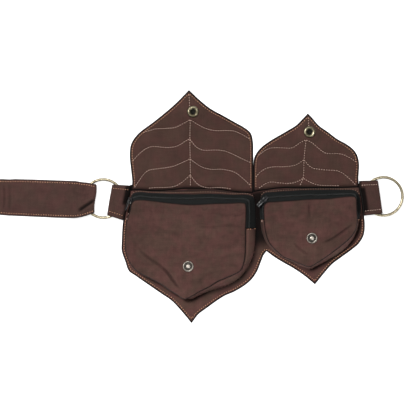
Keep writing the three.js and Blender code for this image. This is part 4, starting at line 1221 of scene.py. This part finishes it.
def front(pocket, wall):
    """The domed front panel, creased and puckered, with a seam round its edge."""
    name, seed = pocket["name"], pocket["front_seed"]
    edge = spline(wall.seam, np.linspace(0, wall.count, 12 * wall.count, endpoint=False), closed=True)
    edge = anticlockwise(even(np.vstack([edge, edge[:1]]), EDGE_STEP)[:-1])
    points, faces = triangles_in(edge, PANEL_STEP)
    away, run = off_line(points, edge, closed=True)
    snap = pocket_place(pocket)(pocket["front_snap"])
    out = points - snap
    reach = np.linalg.norm(out, axis=1)
    turns = np.arctan2(edge[:, 1] - snap[1], edge[:, 0] - snap[0])
    order = np.argsort(turns)
    edge_reach = np.linalg.norm(edge - snap, axis=1)[order]
    to_edge = np.interp(np.arctan2(out[:, 1], out[:, 0]), turns[order], edge_reach, period=2 * math.pi)
    share = np.clip((reach - CAP_RADIUS - 1) / (to_edge - CAP_RADIUS - 1), 0, 1)
    dome = pocket["crown"] * (1 - share**2.4)
    level = 1 - step_up(reach, STUD_RADIUS + 1.2, STUD_RADIUS + 6)
    fade = (1 - share**6) * (1 - level)
    folds = creased(points, CREASES[name])
    along_edge = np.stack([run, away], axis=1)
    pucker = 0.3 * waves(along_edge, 5, seed, (1, 3)) * np.exp(-away / 6) * step_up(away, 0.6, 3)
    drape = 0.6 * waves(points, 24, seed + 1) + 0.3 * waves(points, 9, seed + 2)
    drape = drape + 0.2 * waves(points, 7, 9, (2.5, 1))
    crinkle = 0.16 * waves(points, 3.6, seed + 5, (2.2, 1)) + 0.1 * waves(points, 2.6, seed + 6)
    seam = 0.5 * dip(away, 0.4, 0.7)
    rolled = np.sqrt(np.clip(away / 1.2, 0, 1))
    base = pocket["seam_height"] + GAP + dome
    top = base + FRONT * (0.35 + 0.65 * rolled) + (folds + drape + crinkle) * fade + pucker - seam
    bottom = base + (folds + drape) * fade * 0.8
    bottom = np.minimum(bottom, top - 0.25)
    # Painted light and shade in the tone: darker in the creases and lighter on their ridges, darker round the
    # seam at the edge, lighter towards the bottom and the right, the crinkles' relief added to the random
    # blotches, and a darker underside.
    sunk = np.clip(folds, -1.5, 0.6)
    low, high = points.min(axis=0), points.max(axis=0)
    right, up = ((points - low) / (high - low)).T
    light = 0.78 + 0.12 * step_up(1 - up, 0.05, 0.45) + 0.14 * step_up(1 - up, 0.5, 0.9)
    light = light + 0.12 * step_up(right, 0, 0.35)
    blotches = 0.09 * waves(points, 12, seed + 3, (1.6, 1)) + 0.08 * waves(points, 5, seed + 4)
    blotches = blotches + 0.35 * crinkle
    tone = (0.12 + 0.88 * step_up(away, 0.3, 1.6)) * (1 + 0.22 * sunk) * (1 + blotches) * light
    solid, both = shell(points, faces, top, bottom)
    piece = build(f"{name}_front_cloth", solid, both, FRONT_LOOK, replaces=[f"{name}_front"],
                  tone=np.r_[tone, tone * 0.7])
    area_of(edge)


# Tabs and strap


def bore_chord(depth, thickness):
    reach = depth + thickness + GAP
    return math.sqrt((RING_BORE / 2) ** 2 - reach**2) - GAP


def backing_side(side, y):
    edge = leaf_edge(4)
    ends = np.roll(edge, -1, axis=0)
    found = [
        a[0] + (b[0] - a[0]) * ((y - a[1]) / (b[1] - a[1]))
        for a, b in zip(edge, ends)
        if (a[1] - y) * (b[1] - y) < 0
    ]
    return min(found) if side < 0 else max(found)


def tab_frame(side, tab):
    half = TAB_WIDTH / 2

    def end_x(y):
        return backing_side(side, min(y, BACKING_TOP - GAP)) + side * GAP

    ring_x = end_x(tab["end_y"]) + side * (tab["room"] + RING_BORE / 2 + RING_WIRE)

    def fold(w):
        depth = tab["inset"] + w * tab["slant"]
        chord = bore_chord(tab["inset"] + np.sign(w) * tab["slant"], TAB)
        return np.array([ring_x - side * depth, tab["fold_y"] + w * chord])

    def end(w):
        return np.array([end_x(tab["end_y"] + w * half), tab["end_y"] + w * half])

    return ring_x, fold, end


def half_turn(thickness, upper, lower):
    """Insets and heights of a half turn of cloth from an upper to a lower level."""
    radius = (upper - lower) / 2
    angle = np.linspace(0, np.pi, TURN_STEPS + 1)
    inward = thickness / 2 + radius * (1 - np.sin(angle))
    return np.stack([inward, (upper + lower) / 2 + radius * np.cos(angle)], axis=1)


def folded_band(path, widths, thickness, place):
    """Grids of a band folded round a ring: its path is the distance in from the fold and a height."""
    ahead = np.vstack([path[1:], path[-1:]])
    behind = np.vstack([path[:1], path[:-1]])
    normal = np.stack([(ahead - behind)[:, 1], -(ahead - behind)[:, 0]], axis=1)
    normal /= np.linalg.norm(normal, axis=1)[:, None]
    grids = []
    for side in (1, -1):
        rows = []
        for w in widths:
            thin = math.sqrt(max(0.04, 1 - max(0.0, (abs(w) - 0.93) / 0.07) ** 2))
            spots = path + normal * (side * thickness / 2 * thin)
            rows.append(place(spots[:, 0], spots[:, 1], w))
        grids.append(np.array(rows))
    return grids


def tab_piece(name, side, tab, node):
    """A loop of cloth from the backing's side round its ring, topstitched along both edges."""
    _, fold, end = tab_frame(side, tab)
    lower = TAB / 2
    upper = RING_LEVEL + RING_WIRE / 2 + GAP + TAB / 2
    length = np.linalg.norm(fold(0) - end(0))
    turn = half_turn(TAB, upper, lower)
    depth = turn[0][0]
    rise = length * math.sin(math.radians(tab["lean"]))
    seat = BACKING + GAP + TAB / 2
    room = length - tab["room"]
    out = np.array([
        [length + 1, seat], [length, seat + 0.1], [room + 0.3 * tab["room"], upper + rise - 0.1],
        [room - 1, upper + rise], [(depth + length) / 2, upper + rise / 2], turn[0],
    ])
    back = np.array([turn[-1], [length, lower]])
    path = np.vstack([even(out, 0.8)[:-1], turn, even(back, 0.8)[1:]])
    shown = np.arange(len(path)) < len(path) // 2

    def place(inward, height, w):
        a, b = fold(w), end(w)
        whole = np.linalg.norm(b - a)
        pulled = depth + (inward - depth) * (whole - depth) / (length - depth)
        lap = TAB_FLAP_LAP if b[1] > BACKING_TOP else TAB_LAP
        run = np.where(inward <= depth, inward, pulled)
        run = np.where(inward <= length, run, whole + (inward - length) * lap)
        spots = a + np.outer(run, (b - a) / whole)
        groove = 0.3 * dip(abs(w), TAB_ROW, 0.035)
        relief = (0.16 * waves(spots, 5, 91) - groove) * shown * min(1, 8 * (1 - abs(w)))
        return np.column_stack([spots, height + relief])

    face, under = folded_band(path, BAND_WIDTHS, TAB, place)
    across, run = BAND_WIDTHS[:, None], path[None, :, 0]
    away = np.abs(across)
    low, high, reach = tab["shadow"]
    shadow = 0.92 * step_up(across, low - 0.12, low + 0.12) * (1 - step_up(across, high - 0.1, high + 0.1))
    shadow = shadow * step_up(run, length - reach, length - reach + 3.2)
    # Painted shade: darker at the sewn end, where the tab goes under the backing, at both edges and along the
    # stitch rows.
    seam = 0.8 * step_up(run, length - 1.8, length - 0.2)
    tone = (1 - 0.75 * step_up(away, 0.93, 1)) * (1 - 0.25 * dip(away, TAB_ROW, 0.03))
    tone = tone * tab["tone"] * (1 - shadow) * (1 - seam)
    piece = band_piece(name, face, under, STRAP_LOOK, [node], tone,
                       rests_on=[f"{name.split('_')[0]}_ring_brass"])
    rows = []
    for w in (-TAB_ROW, TAB_ROW):
        a, b = fold(w), end(w)
        along = (b - a) / np.linalg.norm(b - a)
        rows.append(np.array([a + along * 1.6, b - along * 0.6]))
    sewn(f"{name}_topstitch", Ground(piece), rows, EDGE_THREAD if tab is LEFT_TAB else VEIN_THREAD)


def strap_piece():
    """The strap: over the ring's far side, folded through the ring and sewn back under itself."""
    ring_x, _, _ = tab_frame(-1, LEFT_TAB)
    fold_x = ring_x - STRAP_INSET
    fold_half = bore_chord(STRAP_INSET + STRAP_SKEW, STRAP)
    half = STRAP_WIDTH / 2
    lower = STRAP / 2
    upper = RING_LEVEL + RING_WIRE / 2 + GAP + STRAP / 2
    doubled = lower + STRAP + GAP
    cover = RING_BORE / 2 + RING_WIRE - STRAP_INSET + 2
    turn = half_turn(STRAP, upper, lower)

    def height(back):
        if back < cover:
            return upper
        if back < STRAP_HEM:
            return max(doubled, upper - (back - cover) * 0.3)
        return max(lower, doubled - (back - STRAP_HEM) * 0.2)

    over = [(back, height(back)) for back in np.arange(STRAP_LENGTH, turn[0][0] + 0.6, -1.0)]
    under = [(back, lower) for back in np.arange(turn[0][0] + 1, STRAP_HEM - GAP, 1.0)]
    path = np.vstack([over, turn, under])
    shown = len(over) + len(turn) // 2
    table = np.array(STRAP_EDGES)

    def half_at(back, w):
        edge = np.interp(back / STRAP_LENGTH, table[:, 0], table[:, 1 if w > 0 else 2])
        return fold_half + (half - fold_half) * edge

    def place(back, z, w):
        bow = STRAP_BOW * math.sin(3 * w) * np.exp(-back / 12)
        x = fold_x + STRAP_SKEW * w + bow - back
        return np.stack([x, LEFT_TAB["fold_y"] + w * half_at(back, w), z], axis=1)

    face, back = folded_band(path, BAND_WIDTHS, STRAP, place)
    flat = face[:, :shown, :2].reshape(-1, 2)
    away = (1 - np.abs(BAND_WIDTHS))[:, None] * half
    inner = step_up(away, 0.2, 2.5)
    folds = creased(flat, STRAP_CREASES) + 0.22 * waves(flat, 13, 101) + 0.12 * waves(flat, 5, 102)
    folds = folds.reshape(face.shape[0], shown)
    run = path[None, :shown, 0]
    ridge = STRAP_RIDGE * dip(BAND_WIDTHS[:, None], -0.35 - 0.03 * run, 0.2) * step_up(28 - run, 0, 14)
    groove = 0.28 * dip(away, STRAP_ROW, 0.6)
    face[:, :shown, 2] += folds * inner + ridge - groove
    back[:, :shown, 2] += np.clip(folds * inner, -0.1, 1) * 0.6 + ridge
    # Painted light and shade: dark along both edges, darker in the creases and lighter on their ridges.
    tone = np.ones(face.shape[:2]) * (1 - 0.85 * (1 - step_up(away, 0.1, 1.2)))
    tone[:, :shown] *= 1 + 0.36 * np.clip(folds, -2.3, 0.5)
    piece = band_piece("strap_cloth", face, back, STRAP_LOOK, ["strap"], tone,
                       rests_on=["left_ring_brass"])
    rows = []
    for side in (1, -1):
        run = np.arange(1.2, STRAP_LENGTH - 0.5, 1)
        y = LEFT_TAB["fold_y"] + side * (half_at(run, side) - STRAP_ROW)
        rows.append(np.stack([fold_x + STRAP_SKEW * side - run, y], axis=1))
    sewn("strap_topstitch", Ground(piece), rows, EDGE_THREAD)


# Metal


def lone(piece):
    bpy.ops.object.select_all(action="DESELECT")
    piece.select_set(True)
    bpy.context.view_layer.objects.active = piece


def settled(piece, name, look, replaces):
    """Puts the piece's place in its mesh and gives it its material."""
    lone(piece)
    bpy.ops.object.transform_apply(location=True, rotation=True, scale=True)
    bpy.ops.object.shade_smooth()
    piece.name = piece.data.name = name
    piece.data.materials.clear()
    piece.data.materials.append(look)
    return finished(piece, replaces=replaces)


def wear_and_shade(piece, shade):
    """Gives a metal piece its tone of painted light and shade, from its points in millimetres."""
    points = np.array([vertex.co for vertex in piece.data.vertices]) / MM - SHIFT
    values = shade(points).astype(np.float32)
    piece.data.attributes.new("tone", "FLOAT", "POINT").data.foreach_set("value", values)


def ring_piece(name, side, tab, node):
    """A brass wire ring, butt-welded: the wire is a little thicker at the weld."""
    ring_x, _, _ = tab_frame(side, tab)
    lean = math.radians(tab["lean"])
    centre = np.array([ring_x, tab["fold_y"], RING_LEVEL - tab["inset"] * math.sin(lean)]) + SHIFT
    major = (RING_BORE + RING_WIRE) / 2 * MM
    bpy.ops.object.select_all(action="DESELECT")
    bpy.ops.mesh.primitive_torus_add(
        major_segments=RING_SEGMENTS, minor_segments=20, major_radius=major, minor_radius=RING_WIRE / 2 * MM)
    piece = bpy.context.object
    step = 2 * math.pi / RING_SEGMENTS
    for offset, size in ((-1, 1.04), (0, 1.09), (1, 1.05)):
        at = round(math.radians(tab["weld"]) / step + offset) * step
        bpy.ops.object.mode_set(mode="EDIT")
        bpy.ops.mesh.select_all(action="DESELECT")
        bpy.ops.object.mode_set(mode="OBJECT")
        for vertex in piece.data.vertices:
            turn = math.atan2(vertex.co.y, vertex.co.x) % (2 * math.pi)
            vertex.select = abs(turn - at) < step / 3
        bpy.ops.object.mode_set(mode="EDIT")
        middle = (major * math.cos(at), major * math.sin(at), 0)
        bpy.ops.transform.resize(value=(size, size, size), center_override=middle)
        bpy.ops.object.mode_set(mode="OBJECT")
    piece.location = centre * MM
    piece.rotation_euler = (0, side * lean, 0)
    settled(piece, name, RING_BRASS, [node])

    def shade(points):
        out = points - (centre - SHIFT)
        across = np.linalg.norm(out[:, :2], axis=1)
        inward = ((RING_BORE + RING_WIRE) / 2 - across) / (RING_WIRE / 2)
        level = (out[:, 2] + side * out[:, 0] * math.sin(lean)) / (RING_WIRE / 2)
        upward = 0.35 + 0.65 * step_up(level, -0.1, 0.8)
        return tab["ring_tone"] * upward * (1 - 0.5 * step_up(inward, 0.1, 0.85))

    wear_and_shade(piece, shade)


def turned(name, rings, centre, look, replaces):
    """A turned piece: rings of radius, height and tone (painted light and shade), each extruded from the one
    before.
    """
    bpy.ops.object.select_all(action="DESELECT")
    first, start, _ = rings[0]
    bpy.ops.mesh.primitive_circle_add(vertices=48, radius=first * MM, location=(0, 0, start * MM))
    piece = bpy.context.object
    bpy.ops.object.transform_apply(location=True)
    bpy.ops.object.mode_set(mode="EDIT")
    bpy.ops.mesh.select_all(action="SELECT")
    bpy.ops.mesh.extrude_region_move()
    bpy.ops.mesh.merge(type="CENTER")
    bpy.ops.mesh.select_all(action="DESELECT")
    bpy.ops.mesh.select_mode(type="EDGE")
    bpy.ops.mesh.select_non_manifold()
    radius, height = first, start
    for wide, high, _ in rings[1:]:
        wider = wide / radius
        bpy.ops.mesh.extrude_region_move(TRANSFORM_OT_translate={"value": (0, 0, (high - height) * MM)})
        bpy.ops.transform.resize(value=(wider, wider, 1), center_override=(0, 0, high * MM))
        radius, height = wide, high
    bpy.ops.mesh.extrude_region_move()
    bpy.ops.mesh.merge(type="CENTER")
    bpy.ops.mesh.select_all(action="SELECT")
    bpy.ops.mesh.normals_make_consistent(inside=False)
    bpy.ops.object.mode_set(mode="OBJECT")
    piece.location = (np.r_[centre, 0] + SHIFT) * MM
    settled(piece, name, look, replaces)
    table = np.array(rings)

    def shade(points):
        reach = np.linalg.norm(points[:, :2] - centre, axis=1)
        apart = np.hypot(reach[:, None] - table[:, 0], points[:, 2:] - table[:, 1])
        return table[apart.argmin(axis=1), 2]

    wear_and_shade(piece, shade)
    return piece


def flap_snap(pocket):
    """A brass socket with a rolled rim and a deep dark eye, its post and its cap behind the flap."""
    name = pocket["name"]
    cloth0, cloth1 = SNAP_RAISE, SNAP_RAISE + FLAP
    seat = cloth1 + GAP
    top = seat + SOCKET_HEIGHT
    # Radius, height and tone: the tone is painted light and shade, lightest on the rolled rim's top, darker
    # down its side and darkest in the eye.
    rings = [
        (CAP_RADIUS - 1.2, 0.02, 1), (CAP_RADIUS - 0.4, 0.1, 1), (CAP_RADIUS, 0.5, 0.8),
        (CAP_RADIUS - 0.1, cloth0 - GAP, 0.5), (SNAP_POST + 0.1, cloth0 - GAP, 0.4), (SNAP_POST, cloth0, 0.4),
        (SNAP_POST, seat, 0.3), (SOCKET_RADIUS - 0.5, seat, 0.2), (SOCKET_RADIUS - 0.1, seat + 0.1, 0.2),
        (SOCKET_RADIUS, seat + 0.35, 0.3), (SOCKET_RADIUS - 0.15, seat + 0.7, 0.45),
        (SOCKET_RADIUS - 0.5, top - 0.75, 0.7), (SOCKET_RADIUS - 1, top - 0.25, 0.95),
        (SOCKET_RADIUS - 1.7, top, 1.1), (SOCKET_RADIUS - 2.4, top - 0.12, 1),
        (SOCKET_EYE + 1.2, top - 0.55, 0.55), (SOCKET_EYE + 0.45, top - 0.85, 0.3),
        (SOCKET_EYE + 0.12, top - 1.05, 0.15), (SOCKET_EYE, top - 1.4, 0.1), (SOCKET_EYE, seat + 0.35, 0.1),
        (0.6, seat + 0.2, 0.1),
    ]
    centre = flap_place(pocket)(pocket["flap_snap"])
    piece = turned(f"{name}_socket", rings, centre, SNAP_BRASS, [f"{name}_flap_snap"])
    piece.data.materials.append(EYE_SHADE)
    # Faces inside the eye take the painted shade material.
    for face in piece.data.polygons:
        x, y, z = np.array(face.center) / MM - SHIFT
        away = math.hypot(x - centre[0], y - centre[1])
        if seat + 0.1 < z < top - 0.7 and away < SOCKET_EYE + 0.5:
            face.material_index = 1


def front_snap(pocket):
    """A pewter stud: a rim, a dark groove and a necked knob, with its flange inside the pocket."""
    name = pocket["name"]
    cloth0 = pocket["seam_height"] + GAP + pocket["crown"]
    seat = cloth0 + FRONT + GAP
    flange = cloth0 - GAP
    top = seat + KNOB_HEIGHT
    # Radius, height and tone: the tone is painted light on the rim and the knob's top and painted shade in
    # the groove.
    rings = [
        (0.8 * STUD_RADIUS - 0.3, flange - 1, 1), (0.8 * STUD_RADIUS, flange - 0.8, 1),
        (0.8 * STUD_RADIUS, flange, 0.6), (SNAP_POST, flange, 0.4), (SNAP_POST, seat, 0.3),
        (STUD_RADIUS - 0.3, seat, 0.15), (STUD_RADIUS, seat + 0.25, 0.2),
        (STUD_RADIUS - 0.05, seat + 0.6, 0.75), (STUD_RADIUS - 0.4, seat + 1, 0.8),
        (STUD_RADIUS - 1, seat + 1.15, 0.92),
        (STUD_RADIUS - 1.5, seat + 0.98, 0.65), (STUD_RADIUS - 1.8, seat + 0.6, 0.1),
        (STUD_RADIUS - 2.4, seat + 0.5, 0.12), (KNOB_RADIUS + 0.55, seat + 0.6, 0.2),
        (KNOB_RADIUS + 0.1, seat + 0.68, 0.12), (KNOB_RADIUS - 0.3, seat + 0.9, 0.1),
        (KNOB_RADIUS - 0.35, seat + 1.5, 0.1), (KNOB_RADIUS - 0.05, seat + 2.1, 0.2),
        (KNOB_RADIUS, seat + 2.5, 0.3), (KNOB_RADIUS - 0.2, top - 0.3, 0.6),
        (KNOB_RADIUS - 0.6, top - 0.03, 1.3), (KNOB_RADIUS - 1.2, top, 1.3), (0.5, top - 0.06, 1.15),
    ]
    centre = pocket_place(pocket)(pocket["front_snap"])
    turned(f"{name}_stud", rings, centre, PEWTER, [f"{name}_front_snap"])


def softened(node, name, body, width):
    """A copy of a hard node of the zip with its edges rounded."""
    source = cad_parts[node]
    piece = bpy.data.objects.new(name, source.data.copy())
    bpy.context.scene.collection.objects.link(piece)
    lone(piece)
    bpy.ops.object.mode_set(mode="EDIT")
    bpy.ops.mesh.select_all(action="SELECT")
    bpy.ops.mesh.remove_doubles(threshold=1e-6)
    bpy.ops.mesh.dissolve_limited(angle_limit=math.radians(2))
    bpy.ops.object.mode_set(mode="OBJECT")
    bevel = piece.modifiers.new("rounded", "BEVEL")
    bevel.width = width * MM
    bevel.segments = 3
    bevel.limit_method = "ANGLE"
    bevel.angle_limit = math.radians(25)
    bpy.ops.object.modifier_apply(modifier=bevel.name)
    piece.data.materials.clear()
    piece.data.materials.append(ZIP_METAL)
    bpy.ops.object.shade_smooth_by_angle(angle=math.radians(35))
    finished(piece, body, [node])


# Studio


def studio():
    """A pale floor, soft light and a camera straight above."""
    bpy.ops.object.select_all(action="DESELECT")
    bpy.ops.mesh.primitive_plane_add(size=40, location=(0, 0, -0.0005))
    floor = bpy.context.object
    floor.name = "floor"
    paint = Paint("pale_floor", roughness=0.9, specular_ior_level=0.1)
    cloudy = paint.noise(paint.place(), 3, 2)
    paint.surface(paint.mix(cloudy, (0.93, 0.93, 0.93), (0.96, 0.96, 0.96)))
    paint.feed(paint.shader.inputs["Emission Color"], (1, 1, 1))
    paint.feed(paint.shader.inputs["Emission Strength"], 0.75)
    floor.data.materials.append(paint.made)
    world = bpy.data.worlds.new("studio")
    world.use_nodes = True
    world.node_tree.nodes["Background"].inputs["Color"].default_value = (1, 1, 1, 1)
    world.node_tree.nodes["Background"].inputs["Strength"].default_value = 0.12
    bpy.context.scene.world = world
    for name, place, size, power in (("key", (-0.5, 0.44, 1.4), 0.3, 17), ("fill", (0.6, -0.5, 1.2), 0.6, 3)):
        lamp = bpy.data.lights.new(name, "AREA")
        lamp.size = size
        lamp.energy = power
        made = bpy.data.objects.new(name, lamp)
        made.location = place
        made.rotation_euler = (-Vector(place)).to_track_quat("-Z", "Y").to_euler()
        bpy.context.scene.collection.objects.link(made)
    camera = bpy.data.cameras.new("camera")
    camera.sensor_width = SENSOR
    camera.lens = SENSOR * CAMERA_HEIGHT / FIELD
    made = bpy.data.objects.new("camera", camera)
    x, y = (picture([CAMERA_POINT])[0] + SHIFT[:2]) * MM
    made.location = (x, y, CAMERA_HEIGHT)
    bpy.context.scene.collection.objects.link(made)
    bpy.context.scene.camera = made
    bpy.context.scene.view_settings.view_transform = "Standard"
    bpy.context.scene.view_settings.look = "None"


# The belt

studio()
backing()
for pocket in POCKETS:
    wall = Wall(pocket)
    flap(pocket)
    flap_snap(pocket)
    hem(pocket, wall)
    zip_tapes(pocket, wall)
    gusset(pocket, wall)
    front(pocket, wall)
    front_snap(pocket)
    name = pocket["name"]
    softened(f"{name}_zip_slider", f"{name}_slider", "root", 0.22)
    softened(f"{name}_zip_pull", f"{name}_pull_tab", f"{name}_pull", 0.18)
ring_piece("left_ring_brass", -1, LEFT_TAB, "left_ring")
ring_piece("right_ring_brass", 1, RIGHT_TAB, "right_ring")
tab_piece("left_tab_cloth", -1, LEFT_TAB, "left_tab")
tab_piece("right_tab_cloth", 1, RIGHT_TAB, "right_tab")
strap_piece()
